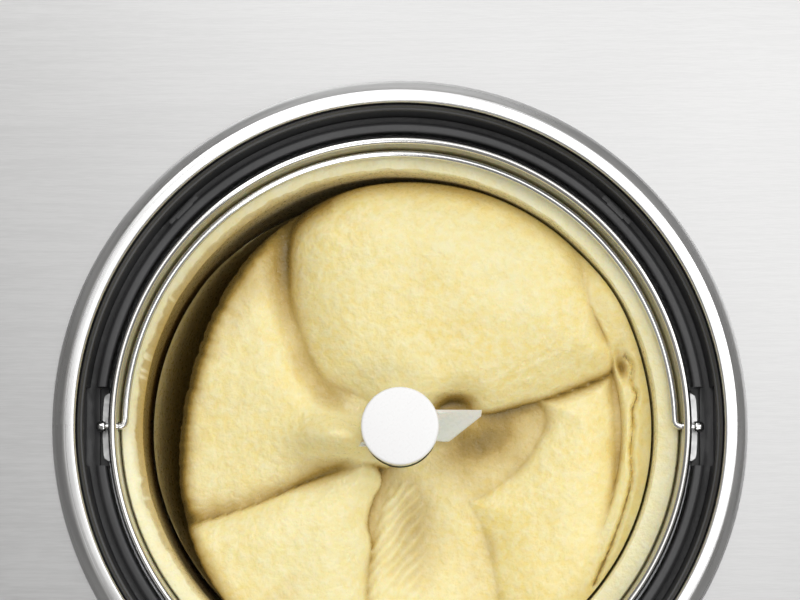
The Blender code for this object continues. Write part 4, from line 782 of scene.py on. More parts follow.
pin.transform(Matrix.Rotation(math.radians(90), 4, "Y"))
pin.transform(Matrix.Translation((AXIS.x * MM, AXIS.y * MM, bail_z * MM)))
shell = cut(shell, pin)
new_piece("steel_bowl", shell, polished, "bowl", "polished_steel", "bowl")

lug_finish = grained("pressed_lug", (0.50, 0.50, 0.50), (0.72, 0.72, 0.72), (0.3, 0.45), 700, 0.2, 0.9)
for name, middle_angle in (("bowl_lug_left", 180), ("bowl_lug_right", 0)):
    low, high = box_mm(name)
    top = high.z
    back = bowl_wall(top) + 0.3
    tip = RIM_RADIUS + 2.3
    loops = []
    for step in range(25):
        share = step / 24
        angle = math.radians(middle_angle - 6.6 + 13.2 * share)
        end = min(share, 1 - share) * 13.2 * math.pi / 180 * tip
        short = 1.6 - math.sqrt(max(0.0, 1.6**2 - (1.6 - min(end, 1.6)) ** 2))
        reach = tip - 0.02 - min(short, 1.2)
        section = [
            (back, top - 5.4), (back + 1, top - 5.4), (back + 1, top - 1), (reach, top - 1),
            (reach, top), (back, top),
        ]
        loops.append(
            [(AXIS.x + r * math.cos(angle), AXIS.y + r * math.sin(angle), z) for r, z in section]
        )
    new_piece(f"{name}_plate", lofted(loops), lug_finish, "bowl", "aluminium", name)

# The bail: 2 mm spring wire bent to the bowl's curve and folded back inside the rim.
# Its ends turn out through the wall and are upset into small round heads.
wire_steel = grained(
    "wire_steel", (0.70, 0.70, 0.69), (0.86, 0.86, 0.85), (0.10, 0.22), 500, 0.05, 1.0, stretch=(1, 1, 1)
)
WIRE = 1.0
arc_radius = bowl_wall(bail_z) - BOWL_SHEET - WIRE - 1.0
route = []
first = math.asin(2.4 / arc_radius)
for step in range(97):
    angle = first + (math.pi - 2 * first) * step / 96
    route.append((arc_radius * math.cos(angle), arc_radius * math.sin(angle)))
outside = RIM_RADIUS + 3.0
hook = [
    (outside, 0.0), (arc_radius + 2.4, 0.0), (arc_radius + 1.2, 0.12), (arc_radius + 0.4, 0.6),
    (arc_radius + 0.05, 1.4),
]
route = hook + route + [(-x, y) for x, y in hook[::-1]]
curve = bpy.data.curves.new("bail_wire", "CURVE")
curve.dimensions = "3D"
curve.bevel_depth = WIRE * MM
curve.bevel_resolution = 4
curve.use_fill_caps = True
spline = curve.splines.new("POLY")
spline.points.add(len(route) - 1)
for spot, (x, y) in zip(spline.points, route):
    spot.co = ((AXIS.x + x) * MM, (AXIS.y + y) * MM, bail_z * MM, 1.0)
holder = bpy.data.objects.new("bail_wire", curve)
bpy.context.scene.collection.objects.link(holder)
bail = bpy.data.meshes.new_from_object(holder.evaluated_get(bpy.context.evaluated_depsgraph_get()))
bpy.data.objects.remove(holder)
bm = bmesh.new()
bm.from_mesh(bail)
bail = closed_mesh(bm)
head_profile = softened(
    [(0, 0), (1.5, 0), (1.7, 0.6), (1.55, 2.2), (0.9, 2.9), (0, 3.0)], 0.4, closed=False
)
for side in (-1, 1):
    head = turned(head_profile, (0, 0), wire_steel, 24, closed=False)
    head.transform(Matrix.Rotation(math.radians(90 * side), 4, "Y"))
    head.transform(
        Matrix.Translation(((AXIS.x + side * (RIM_RADIUS + 1.05)) * MM, AXIS.y * MM, bail_z * MM))
    )
    bail = cut(bail, head, "UNION")
new_piece("folding_bail", bail, wire_steel, "bail", "polished_steel", "bail_handle")

# The paddle: one white moulding, a tapering hub with two leaning blades and a web at each blade's shoulder.
# A plain white disc snaps into the top of the hub.
HUB = 10.8
HUB_FOOT = 21.5
BLADE_REACH = 74.2
white_moulding = grained(
    "white_moulding", (0.84, 0.83, 0.79), (0.92, 0.91, 0.88), (
        0.22, 0.36
    ), 700, 0.06, Subsurface_Weight=0.25
)
cap_white = grained("cap_white", (0.95, 0.95, 0.95), (0.98, 0.98, 0.98), (0.25, 0.35), 900, 0.03)
paddle_low = box_mm("paddle")[0].z
hub_top = box_mm("paddle")[1].z
hub_profile = [
    (0, paddle_low), (HUB_FOOT, paddle_low), (HUB + 2.4, cone_top + 2), (HUB, cone_top + 30),
    (HUB, hub_top), (0, hub_top),
]
paddle_mesh = turned(
    softened(hub_profile, 3.0, closed=False, steps=5), AXIS, white_moulding, 96, closed=False
)
BLADE_COLUMNS = 26
BLADE_ROWS = 14


BLADE_DROP = 12
BLADE_FALL = 1.3  # steeper than the CAD's, so that the outer end stays out of sight in the gap


def blade(turn):
    """One leaning blade, thinned and rounded towards its edges."""
    loops = []
    start = HUB - 3.0
    for i in range(BLADE_COLUMNS + 1):
        radius = start + (BLADE_REACH - start) * i / BLADE_COLUMNS
        high = RIM_TOP - BLADE_DROP - BLADE_FALL * (radius - HUB)
        lean = 16.0 / max(radius, HUB_FOOT)
        sides = {-1: [], 1: []}
        for j in range(BLADE_ROWS + 1):
            share = j / BLADE_ROWS
            edge_share = min(share, 1 - share) * (high - paddle_low) / 1.3
            round_off = math.sqrt(max(0.0, 1 - (1 - min(edge_share, 1.0)) ** 2))
            half = 0.25 + 1.05 * round_off
            for side, column in sides.items():
                angle = turn + math.radians(50 * math.exp(-radius / 20) - 5) - lean * (1 - share)
                angle += side * half / max(radius, HUB)
                z = paddle_low + (high - paddle_low) * share
                column.append((AXIS.x + radius * math.cos(angle), AXIS.y + radius * math.sin(angle), z))
        loops.append(sides[-1] + sides[1][::-1])
    return lofted(loops)


def shoulder(side):
    """The sloping web between the hub and a blade's top, with a rounded lower corner."""
    outline = [
        (7.8, 5.4), (7.8, -3.2), (13.2, -3.7), (14.6, -3.6), (15.8, -2.7), (24.0, 3.6), (24.2, 5.4)
    ]
    loops = []
    for thick in (0.0, 0.5, 2.1, 2.6):
        inset = 0.35 if thick in (0.0, 2.6) else 0.0
        loop = []
        for x, y in outline:
            z = RIM_TOP - 14.0 - 0.75 * (5.4 - y) - 0.087 * (x - 7.8) - thick
            loop.append(
                (AXIS.x + side * (x - inset * (x > 8)), AXIS.y + side * (y + inset * (y < 0)), z)
            )
        loops.append(loop)
    return lofted(loops)


for i, side in enumerate((1, -1)):
    paddle_mesh = cut(paddle_mesh, blade(i * math.pi), "UNION")
    paddle_mesh = cut(paddle_mesh, shoulder(side), "UNION")
hollow = [
    (0, BOWL_FLOOR - 5), (18.2, BOWL_FLOOR - 5), (17.8, BOWL_FLOOR), (10.3, cone_top + 1.5),
    (0, cone_top + 1.5),
]
paddle_mesh = cut(paddle_mesh, turned(hollow, AXIS, white_moulding, 64, closed=False))
hexagon = [
    (5.2 * math.cos(math.radians(60 * i)), 5.2 * math.sin(math.radians(60 * i))) for i in range(6)
]
socket = lofted(
    [[(AXIS.x + x, AXIS.y + y, z) for x, y in hexagon] for z in (cone_top - 2, cone_top + 35)]
)
paddle_mesh = cut(paddle_mesh, socket)
bore = [(0, hub_top - 8.2), (7.3, hub_top - 8.2), (7.3, hub_top + 3), (0, hub_top + 3)]
paddle_mesh = cut(paddle_mesh, turned(bore, AXIS, white_moulding, 64, closed=False))
new_piece("churning_paddle", paddle_mesh, white_moulding, "paddle", "white_plastic", "paddle")

cap_low, cap_high = box_mm("paddle_cap")
cap_profile = [
    (0, cap_low.z), (7.0, cap_low.z), (7.0, cap_low.z + 6), (11.4, cap_low.z + 6), (11.4, cap_high.z),
    (0, cap_high.z),
]
cap = turned(softened(cap_profile, 0.8, closed=False, steps=5), AXIS, cap_white, 96, closed=False)
new_piece("hub_cap", cap, None, "paddle", "white_plastic", "paddle_cap")

# The ice cream: one churned mass that turns with the paddle, folded over itself ahead of one blade.
# Each fold is a rounded lump with its own outline; the highest lump shows, so folds meet in creases.
LEVEL = RIM_TOP - 23.0
REACH = 74.8
RINGS = 176
SECTORS = 512


def smooth_outline(points, closed=True, per=14):
    """A Catmull-Rom curve through points in plan."""
    knots = np.array(points, float)
    count = len(knots)
    out = []
    for i in range(count if closed else count - 1):
        picks = [(i - 1) % count, i, (i + 1) % count, (i + 2) % count]
        if not closed:
            picks = [max(i - 1, 0), i, i + 1, min(i + 2, count - 1)]
        a, b, c, d = (knots[k] for k in picks)
        for step in range(per):
            t = step / per
            square = (2 * a - 5 * b + 4 * c - d) * t**2
            cube = (3 * b - a - 3 * c + d) * t**3
            out.append(0.5 * (2 * b + (c - a) * t + square + cube))
    if not closed:
        out.append(knots[-1])
    return np.array(out)


def line_distance(x, y, line, closed):
    """The distance of every point from a line of short straight pieces."""
    ends = np.roll(line, -1, axis=0) if closed else line[1:]
    starts = line if closed else line[:-1]
    best = np.full(x.shape, 1e9)
    for (ax, ay), (bx, by) in zip(starts, ends):
        dx, dy = bx - ax, by - ay
        length = dx * dx + dy * dy + 1e-12
        t = np.clip(((x - ax) * dx + (y - ay) * dy) / length, 0, 1)
        best = np.minimum(best, (x - ax - t * dx) ** 2 + (y - ay - t * dy) ** 2)
    return np.sqrt(best)


def inside(x, y, line):
    """Whether each point lies inside a closed line, by crossings."""
    result = np.zeros(x.shape, bool)
    for (ax, ay), (bx, by) in zip(line, np.roll(line, -1, axis=0)):
        crosses = (ay > y) != (by > y)
        with np.errstate(divide="ignore", invalid="ignore"):
            at = (bx - ax) * (y - ay) / (by - ay) + ax
        result ^= crosses & (x < at)
    return result


def depth_inside(x, y, outline):
    line = smooth_outline(outline)
    distance = line_distance(x, y, line, True)
    return np.where(inside(x, y, line), distance, -distance)


def rounded_rise(depth, reach, power=2.0):
    """From 0 at a lump's edge, steeply at first, to 1 at its full reach inwards."""
    share = np.clip(depth / reach, 0, 1)
    return (1 - (1 - share) ** power) ** (1 / power)


def soft_max(a, b, width):
    """The higher of two heights, eased together over a small difference."""
    share = np.clip(0.5 + (a - b) / (2 * width), 0, 1)
    return b + (a - b) * share + width * share * (1 - share)


def bell(x, y, centre, spread_x, spread_y, turn=0.0):
    c, s = math.cos(math.radians(turn)), math.sin(math.radians(turn))
    u, v = (x - centre[0]) * c + (y - centre[1]) * s, -(x - centre[0]) * s + (y - centre[1]) * c
    return np.exp(-((u / spread_x) ** 2) - (v / spread_y) ** 2)


def mass_edge(angle):
    """The mass has drawn away from the wall on its left, and its edge there is a little ragged."""
    away = math.radians(166)
    off = np.arctan2(np.sin(angle - away), np.cos(angle - away))
    near = np.exp(-((off / math.radians(47)) ** 2))
    ragged = 0.35 * np.sin(angle * 23) + 0.25 * np.sin(angle * 57 + 1) + 0.18 * np.sin(angle * 131 + 2)
    return REACH - 9.9 * near - near * 0.8 * np.abs(ragged)


DOME = [
    (-23.4, 70.5), (-29.5, 66.0), (-32.9, 60.5), (-34.4, 51.0), (-34.2, 38.2), (-31.2, 25.8), (-27.0, 16.5),
    (-20.8, 9.2), (-12.0, 2.8), (-2.0, 0.0), (7.0, 2.2), (13.4, 4.2), (24.7, 4.4), (29.9, 5.2), (37.2, 7.2),
    (46.0, 9.5), (54.7, 12.8), (63.0, 17.0), (66.2, 23.0), (64.6, 30.0), (63.0, 40.3), (58.8, 50.0),
    (53.0, 58.0), (44.6, 65.5), (34.1, 71.0), (23.7, 74.5), (8.0, 77.0), (-8.0, 77.0), (-17.0, 74.5),
]
LOWER_LUMP = [
    (-10.5, -6.0), (-6.5, -11.0), (-5.5, -16.0), (-8.0, -21.0), (-9.5, -28.0), (-9.0, -42.0), (-20.0, -95.0),
    (-95.0, -70.0), (-90.0, -34.0), (-62.0, -28.0), (-45.0, -23.0), (-32.0, -17.5), (-21.0, -12.5),
]
FIBRE_LUMP = [
    (-8.0, -21.0), (-5.5, -15.0), (0.0, -11.0), (7.0, -11.5), (12.0, -16.6), (17.0, -26.0), (22.0, -36.0),
    (32.0, -70.0), (0.0, -90.0), (-13.0, -50.0), (-10.0, -30.0),
]
RIGHT_LUMP = [
    (37.0, 10.0), (40.5, 4.0), (39.7, -0.5), (35.6, -7.2), (29.5, -12.2), (23.4, -16.4), (17.5, -19.5),
    (18.5, -25.0), (23.0, -35.0), (36.0, -80.0), (70.0, -70.0), (66.5, -32.0), (67.0, -10.0),
    (66.8, 8.0), (64.5, 19.0), (52.0, 16.0),
]
FOLD = [(-10.5, -6.0), (-21.0, -12.5), (-38.4, -20.0), (-59.1, -27.0), (-80.0, -35.0)]
CRACK = [
    (67.0, 22.0), (69.2, 19.0), (69.0, 14.0), (70.6, 10.2), (69.3, 6.0), (69.4, 1.0), (68.7, -6.3),
    (68.9, -14.0), (67.4, -21.0), (65.1, -28.0), (62.3, -35.3), (57.5, -46.0),
]


def mass_surface(x, y):
    """The churned mass seen as heights above its own level, for points in plan about the bowl's axis."""
    radius = np.hypot(x, y)
    angle = np.arctan2(y, x)
    dome_depth = depth_inside(x, y, DOME)

    # The hollow behind the blade, the lowest ground.
    floor = -11.5 + 4.5 * bell(x, y, (13, -14), 7, 6) + 3.5 * bell(x, y, (26, -14), 8, 8)
    floor += 5.0 * bell(x, y, (31, 3.0), 7, 4)

    # The left slope: heaped over the web at the hub, creased along FOLD and dipping beside the dome.
    fold = line_distance(x, y, smooth_outline(FOLD, False), False)
    left = 0.5 + 3.5 * bell(x, y, (-38, 20), 26, 30) - 5.6 * np.exp(-((fold / 7.5) ** 1.4))
    left += 8.5 * bell(x, y, (-16, 0), 13, 10, 20) + 5.0 * bell(x, y, (-22, -3), 9, 5)
    left += 6.0 * bell(x, y, (-13, -4), 6, 6) - 3.6 * np.exp(-((dome_depth / 5.0) ** 2))
    west = np.clip((4.0 - x) / 8.0, 0, 1) * np.clip((y + 34) / 10, 0, 1)
    west = west * (1 - np.clip((-9 - y) / 6, 0, 1) * np.clip((x + 14) / 6, 0, 1))
    height = floor + (left - floor) * west * west * (3 - 2 * west)

    # The lumps, each rising from its outline; the fibrous one is drawn into diagonal strands.
    right = -11.0 + 11.0 * rounded_rise(depth_inside(x, y, RIGHT_LUMP), 17)
    right += 1.6 * bell(x, y, (50, -18), 16, 26)
    fibre_depth = depth_inside(x, y, FIBRE_LUMP)
    strands = np.sin((x * 0.77 - y * 0.64) * 2.4 + 0.8 * np.sin(y * 0.4) + 0.6 * np.sin(x * 0.9))
    fibre = -11.5 + 9.5 * rounded_rise(fibre_depth, 9) - 0.22 * (x + 4) + 0.22 * strands
    fibre = np.where(fibre_depth > 0, fibre, -20)
    lower = -4.4 + 7.4 * rounded_rise(depth_inside(x, y, LOWER_LUMP), 15)
    lower += 1.2 * bell(x, y, (-30, -34), 24, 16)
    height = soft_max(height, right, 0.8)
    height = soft_max(height, fibre, 0.3)
    height = soft_max(height, lower, 0.35)

    # The smooth strip between the dome and the wall, then the dome over everything inside its outline.
    eastern = np.clip(0.5 + (x - 30) / 30, 0, 1)
    strip = -1.0 + 8.5 * bell(x, y, (64, 40), 16, 17, 30)
    strip = np.where(radius > 60, strip - 14 * np.clip((67.4 - radius) / 3.4, 0, 1) ** 1.5, -30)
    height = soft_max(height, strip - 30 * (1 - eastern), 0.4)
    dome = -6.5 + 16.3 * rounded_rise(dome_depth, 25) + 1.7 * bell(x, y, (16, 42), 32, 22)
    dome -= 7.5 * bell(x, y, (16.0, 7.5), 7.0, 4.2, 8) + 1.2 * bell(x, y, (48, 18), 14, 8)
    height = np.where(dome_depth > -0.3, soft_max(height, dome, 0.3), height)

    # The rolled edge, falling furthest where the mass has drawn away from the wall.
    edge_roll = rounded_rise(mass_edge(angle) - radius, 6.0)
    drawn = np.exp(-((np.arctan2(np.sin(angle - 2.9), np.cos(angle - 2.9)) / 1.15) ** 2))
    height -= (1 - edge_roll) * (0.5 + 7.0 * drawn)

    # The torn line near the wall, its lifted lip and the pocket where it starts.
    crack = line_distance(x, y, smooth_outline(CRACK, False, 8), False)
    width = 0.42 + 0.2 * np.sin(y * 1.7) * np.sin(y * 0.63 + 1)
    height -= 2.6 * np.exp(-((crack / width) ** 2))
    height += 0.5 * np.exp(-(((crack - 1.6) / 1.0) ** 2)) * (x > 55)
    height -= 6.5 * bell(x, y, (66.4, 18.8), 2.0, 4.4, 15)
    return height


def organic(co, strength):
    """Three sizes of slow unevenness, as soft frozen cream has."""
    out = np.empty(len(co))
    for i, (px, py, pz) in enumerate(co):
        spot = Vector((px, py, pz))
        value = noise.noise(spot * 0.09) * 0.55 + noise.noise(spot * 0.35) * 0.16 + noise.noise(
            spot * 1.3
        ) * 0.07
        out[i] = value * strength
    return out


angles = np.linspace(0, math.tau, SECTORS, endpoint=False)
edges = mass_edge(angles)
shares = np.linspace(0, 1, RINGS + 1)[1:] ** 0.9
plan_x = shares[:, None] * edges[None, :] * np.cos(angles)[None, :]
plan_y = shares[:, None] * edges[None, :] * np.sin(angles)[None, :]
heights = mass_surface(plan_x, plan_y)
flat = np.stack([plan_x.ravel(), plan_y.ravel(), heights.ravel()], axis=1)
heights = heights + organic(flat, 1.0).reshape(heights.shape)
top_limit = box_mm("frozen_layer")[1].z - LEVEL
heights = np.minimum(heights, top_limit - 0.3 + 4 * (np.hypot(plan_x, plan_y) < 66))
bm = bmesh.new()
centre_height = float(heights[0].mean())
centre = bm.verts.new(((AXIS.x) * MM, (AXIS.y) * MM, (LEVEL + centre_height) * MM))
rows = []
for ring in range(RINGS):
    row = []
    for sector in range(SECTORS):
        spot = (
            AXIS.x + plan_x[ring, sector], AXIS.y + plan_y[ring, sector], LEVEL + heights[ring, sector]
        )
        row.append(bm.verts.new(Vector(spot) * MM))
    rows.append(row)
mass_low = box_mm("ice_cream")[0].z
# Below its edge the mass falls straight down to the bowl's floor. Where it has drawn away it leaves a
# trench instead: down beside the mass, up again as a smear towards the wall, then down to the floor.
GAP_DEPTH = (1.2, 3, 8, 16, 26, 35, 39, 36, 30, 24, 18, 14, 13, 16, 30, 50, 75)
GAP_SHARE = (0, 0, 0.01, 0.03, 0.05, 0.10, 0.20, 0.36, 0.52, 0.68, 0.84, 0.95, 1, 1, 1, 1, 1)
PLAIN_START, PLAIN_STEP = 1.2, 3.2
FULL_GAP = 7.5
WALL_CLEARANCE = 0.6


def skirt_point(k, sector, deep, share):
    """One point of the mass's side: its row, its sector, and how deep and how far out the trench is there."""
    angle, edge = angles[sector], edges[sector]
    open_share = min(1.0, (REACH - edge) / FULL_GAP)
    comb = 0.3 * math.sin(k * 2.3 + 0.6 * math.sin(angle * 5)) * (0.2 < share < 0.95)
    radius = edge + (REACH - WALL_CLEARANCE - edge) * share - 0.1 + comb * open_share
    z = mass_low
    if deep is not None:
        plain = PLAIN_START + k * PLAIN_STEP
        z = LEVEL + heights[-1, sector] * (1 - share) - plain * (1 - open_share) - deep * open_share
    return Vector((AXIS.x + radius * math.cos(angle), AXIS.y + radius * math.sin(angle), z)) * MM


for k, (deep, share) in enumerate([*zip(GAP_DEPTH, GAP_SHARE), (None, 1)]):
    rows.append([bm.verts.new(skirt_point(k, sector, deep, share)) for sector in range(SECTORS)])
for sector in range(SECTORS):
    other = (sector + 1) % SECTORS
    bm.faces.new((centre, rows[0][sector], rows[0][other]))
    for below, above in zip(rows, rows[1:]):
        bm.faces.new((below[sector], above[sector], above[other], below[other]))
bm.faces.new(rows[-1][::-1])
mass_mesh = closed_mesh(bm)
room = [
    (0, mass_low - 3),
    (HUB_FOOT + 0.6, mass_low - 3),
    (HUB_FOOT + 0.6, mass_low + 3),
    (HUB + 2.9, cone_top + 2),
    (HUB + 0.4, cone_top + 30),
    (HUB + 0.4, RIM_TOP),
    (0, RIM_TOP),
]
mass_mesh = cut(mass_mesh, turned(room, AXIS, white_moulding, 64, closed=False), solver="MANIFOLD")


# Painted shade for the mass: how deep each point lies in a fold, for the finish to darken it by: its height
# against the mass's own shape evened out over a small and a large reach, and some patches of ground painted
# darker or lighter as a whole.
GRID_HALF = 80
BLUR_HALF = 24
BLURS = ((3.5, 5.0), (9.0, 11.0))


def evened_out(surface, reach):
    """A square of heights, blurred by a bell that is so many millimetres across."""
    weights = np.exp(-((np.arange(-BLUR_HALF, BLUR_HALF + 1) / reach) ** 2))
    weights /= weights.sum()
    padded = np.pad(surface, BLUR_HALF, "edge")
    padded = np.apply_along_axis(np.convolve, 0, padded, weights, "valid")
    return np.apply_along_axis(np.convolve, 1, padded, weights, "valid")


def read_square(square, x, y):
    """The height of a square of heights, one millimetre to a cell, anywhere between its cells."""
    column = np.clip(x + GRID_HALF, 0, 2 * GRID_HALF - 0.01)
    line = np.clip(y + GRID_HALF, 0, 2 * GRID_HALF - 0.01)
    i, j = column.astype(int), line.astype(int)
    over, up = column - i, line - j
    near_row = square[j, i] * (1 - over) + square[j, i + 1] * over
    far_row = square[j + 1, i] * (1 - over) + square[j + 1, i + 1] * over
    return near_row * (1 - up) + far_row * up


def painted_fold_shade(x, y, z):
    """Painted shade: from 0 on open ground to about 1 in the deepest folds and beside the mass."""
    plan_step = np.arange(-GRID_HALF, GRID_HALF + 1.0)
    grid_x, grid_y = np.meshgrid(plan_step, plan_step)
    grid_edge = mass_edge(np.arctan2(grid_y, grid_x)) - 4
    held = np.minimum(1.0, grid_edge / np.maximum(np.hypot(grid_x, grid_y), 1))
    surface = mass_surface(grid_x * held, grid_y * held)
    # Patches of painted shade: the valley behind the blade, the ground left of the dome's top and the fibrous
    # lump; lighter past the crack.
    depth = 0.8 * bell(x, y, (25, -4), 14, 8, 25) + 0.4 * bell(x, y, (-40, 50), 14, 16)
    depth += 0.28 * bell(x, y, (3, -27), 8, 14, 20) - 0.7 * (x > 68.5)
    for reach, divisor in BLURS:
        depth += (read_square(evened_out(surface, reach), x, y) - z) / divisor
    radius = np.hypot(x, y)
    edge = mass_edge(np.arctan2(y, x))
    drawn = np.clip((REACH - edge) / 6.0, 0, 1)
    # Painted shade along the left edge, taken off near the edges that stay close to the wall.
    depth += 0.3 * np.exp(-(((edge - radius) / 7.0) ** 2)) * (x < -20)
    depth *= 1 - 0.85 * (1 - drawn) * np.exp(-(((edge - radius) / 5.0) ** 2))
    # Painted shade in the trench between mass and wall, darkest beside the mass.
    beyond = np.clip((radius - edge - 0.3) / np.maximum(REACH - edge, 2.0), 0, 1)
    trench_shade = (1.1 - 0.8 * beyond**0.6) * drawn + 0.2 * (1 - drawn)
    return np.where(beyond > 0, trench_shade, np.clip(depth, 0, 1.0))


def mesh_points(mesh, origin):
    """A mesh's vertices in millimetres from an origin, as three rows."""
    points = np.empty(len(mesh.vertices) * 3)
    mesh.vertices.foreach_get("co", points)
    return (points.reshape(-1, 3) / MM - np.array(origin)).T


def mark_painted_shade(mesh, values):
    """Keeps the painted shade on the mesh as an attribute named hollow."""
    hollow = mesh.attributes.new("hollow", "FLOAT", "POINT")
    hollow.data.foreach_set("value", np.asarray(values, np.float32))


mark_painted_shade(mass_mesh, painted_fold_shade(*mesh_points(mass_mesh, (AXIS.x, AXIS.y, LEVEL))))


def ice_cream_finish(name, first, second, speck):
    """Vanilla ice cream: warm and slightly see-through, finely pitted, with patches of bright frost, darkened
    by painted shade read from the hollow attribute.
    """
    material, tree, shader = new_finish(name, first, 0.45)
    shader.inputs["Subsurface Weight"].default_value = 0.22
    shader.inputs["Subsurface Radius"].default_value = (1.0, 0.62, 0.22)
    shader.inputs["Subsurface Scale"].default_value = 0.002
    shader.inputs["Specular IOR Level"].default_value = 0.42
    place = add_node(tree, "ShaderNodeTexCoord").outputs["Object"]
    clouds = add_node(
        tree, "ShaderNodeTexNoise", {"Vector": place, "Scale": 26.0, "Detail": 3.0}
    ).outputs[0]
    mottle = add_node(
        tree, "ShaderNodeTexNoise", {"Vector": place, "Scale": 420.0, "Detail": 5.0}
    ).outputs[0]
    pits = add_node(
        tree, "ShaderNodeTexNoise", {"Vector": place, "Scale": 900.0, "Detail": 3.0}
    ).outputs[0]
    ripple = add_node(
        tree, "ShaderNodeTexNoise", {"Vector": place, "Scale": 210.0, "Detail": 3.0}
    ).outputs[0]
    warm = blend_colours(tree, spread(tree, clouds, 0, 1), first, second)
    speckled = add_node(
        tree,
        "ShaderNodeMix",
        {0: spread(tree, mottle, 0, 0.5), 6: warm, 7: (*speck, 1.0)},
        data_type="RGBA",
    ).outputs[2]
    # Painted shade: ochre in the folds, dark brown deep in the trench beside the mass.
    hollow = add_node(tree, "ShaderNodeAttribute", attribute_name="hollow").outputs["Fac"]
    folded = add_node(
        tree,
        "ShaderNodeMix",
        {0: spread(tree, hollow, 0, 1, 0.02, 0.62), 6: speckled, 7: (0.50, 0.34, 0.085, 1.0)},
        data_type="RGBA",
    ).outputs[2]
    deep = add_node(
        tree, "ShaderNodeMix", {
            0: spread(tree, hollow, 0, 1, 0.55, 1.1), 6: folded, 7: (0.10, 0.07, 0.018, 1.0)
        }, data_type="RGBA"
    ).outputs[2]
    tree.links.new(deep, shader.inputs["Base Color"])
    tree.links.new(spread(tree, pits, 0.20, 0.50), shader.inputs["Roughness"])
    coarse = add_node(
        tree, "ShaderNodeBump", {"Height": ripple, "Strength": 0.2, "Distance": 0.0010}
    ).outputs[0]
    middle = add_node(
        tree, "ShaderNodeBump", {
            "Height": mottle, "Strength": 0.45, "Distance": 0.0006, "Normal": coarse
        }
    ).outputs[0]
    fine = add_node(
        tree, "ShaderNodeBump", {"Height": pits, "Strength": 0.6, "Distance": 0.0003, "Normal": middle}
    ).outputs[0]
    tree.links.new(fine, shader.inputs["Normal"])
    return material


ice = ice_cream_finish("vanilla_ice_cream", (0.95, 0.77, 0.29), (0.97, 0.84, 0.41), (0.99, 0.93, 0.64))
# The wall layer's finish is a lighter copy of the mass's: painted light, to brighten the layer where less
# light falls on it.
lightened_ice = ice_cream_finish("frozen_skin_lightened", (0.98, 0.86, 0.46), (0.99, 0.92, 0.58), (1.0, 0.96, 0.72))
new_piece("churned_ice_cream", mass_mesh, ice, "paddle", "vanilla_ice", "ice_cream")

# The frozen layer: the skin that the blades leave on the bowl's wall, ragged along its upper lip
# and combed into fine level rings where they scrape it.
layer_low, layer_high = box_mm("frozen_layer")
LAYER_INNER = 75.2
layer_rings = []
section_count = 34
for sector in range(SECTORS):
    angle = angles[sector]
    left = math.exp(-((math.atan2(math.sin(angle - 2.95), math.cos(angle - 2.95)) / 1.25) ** 2))
    rough = noise.noise(Vector((math.cos(angle) * 9, math.sin(angle) * 9, 1.7)))
    fine = noise.noise(Vector((math.cos(angle) * 34, math.sin(angle) * 34, 4.2)))
    lip = LAYER_INNER + 1.6 * left + (0.2 + 1.5 * left) * abs(rough) + (0.1 + 1.0 * left) * abs(fine)
    top = layer_high.z - 0.5 + 0.45 * rough
    profile = [(bowl_wall(layer_low.z) - 1.2, layer_low.z), (bowl_wall(top - 1.0) - 1.25, top - 1.0)]
    profile += [
        (bowl_wall(top) - 1.7, top - 0.2), (80.0, top), (78.7 + 0.3 * left, top - 0.3 - 0.3 * left)
    ]
    profile += [(lip + 0.5, top - 0.9 - 0.5 * left), (lip, top - 1.9 - left)]
    under = top - 3.2 - left
    wall_rows = section_count - len(profile)
    for k in range(wall_rows):
        share = k / (wall_rows - 1)
        z = under + (layer_low.z - under) * share
        comb = 0.22 * math.sin(z * 1.9) + 0.12 * math.sin(z * 4.7 + 1)
        profile.append((LAYER_INNER + 0.45 + comb * (0.4 + 0.6 * left) + 0.3 * left, z))
    layer_rings.append(profile)
bm = bmesh.new()
grid = []
for sector in range(SECTORS):
    c, s = math.cos(angles[sector]), math.sin(angles[sector])
    grid.append(
        [bm.verts.new(Vector((AXIS.x + r * c, AXIS.y + r * s, z)) * MM) for r, z in layer_rings[sector]]
    )
for sector in range(SECTORS):
    near, far = grid[sector], grid[(sector + 1) % SECTORS]
    for k in range(section_count):
        n = (k + 1) % section_count
        bm.faces.new((near[k], far[k], far[n], near[n]))
layer_mesh = closed_mesh(bm)
across, along, heights_up = mesh_points(layer_mesh, (AXIS.x, AXIS.y, 0))
radii = np.hypot(across, along)
turns = np.arctan2(along, across) - 2.95
left_side = np.exp(-((np.arctan2(np.sin(turns), np.cos(turns)) / 1.25) ** 2))
# Painted shade on the layer's inner wall, below its lip on the left, where it faces the shadowed gap.
shade_below_lip = np.clip((layer_high.z - 1.2 - heights_up) / 4.5, 0, 0.6)
mark_painted_shade(layer_mesh, shade_below_lip * left_side * (radii < 78))
new_piece("frozen_wall_layer", layer_mesh, lightened_ice, "bowl", "vanilla_ice", "frozen_layer")

# The controls: a glossy fascia with a ring of ticks about a knurled metal dial, three satin push buttons
# in their wells, and a smoked lens over a small segment display; a circuit board hangs beneath.
board_green = grained(
    "board_green", (0.01, 0.10, 0.04), (0.02, 0.17, 0.07), (0.3, 0.45), 500, 0.2, cloud=120.0
)
keep_node(board_green, "control_board")
knob_low, knob_high = box_mm("timer_knob")
knob_middle = (knob_low + knob_high) / 2
FASCIA_TOP = fascia_high.z
fascia_loops = []
lip_z = PLATE_TOP + 0.3
plan = (fascia_size.x, fascia_size.y, 10.0)
for inset, z in (
    (2.0, fascia_low.z),
    (2.0, lip_z),
    (0, lip_z),
    (0, FASCIA_TOP - 0.7),
    (0.2, FASCIA_TOP - 0.25),
    (0.7, FASCIA_TOP),
):
    corner = plan[2] - inset - (0.3 if inset == 2.0 else 0)
    fascia_loops.append(rounded_loop(plan[0] - 2 * inset, plan[1] - 2 * inset, corner, z, fascia_middle))
fascia = lofted(fascia_loops)
button_names = ("cool_button", "power_button", "start_button")
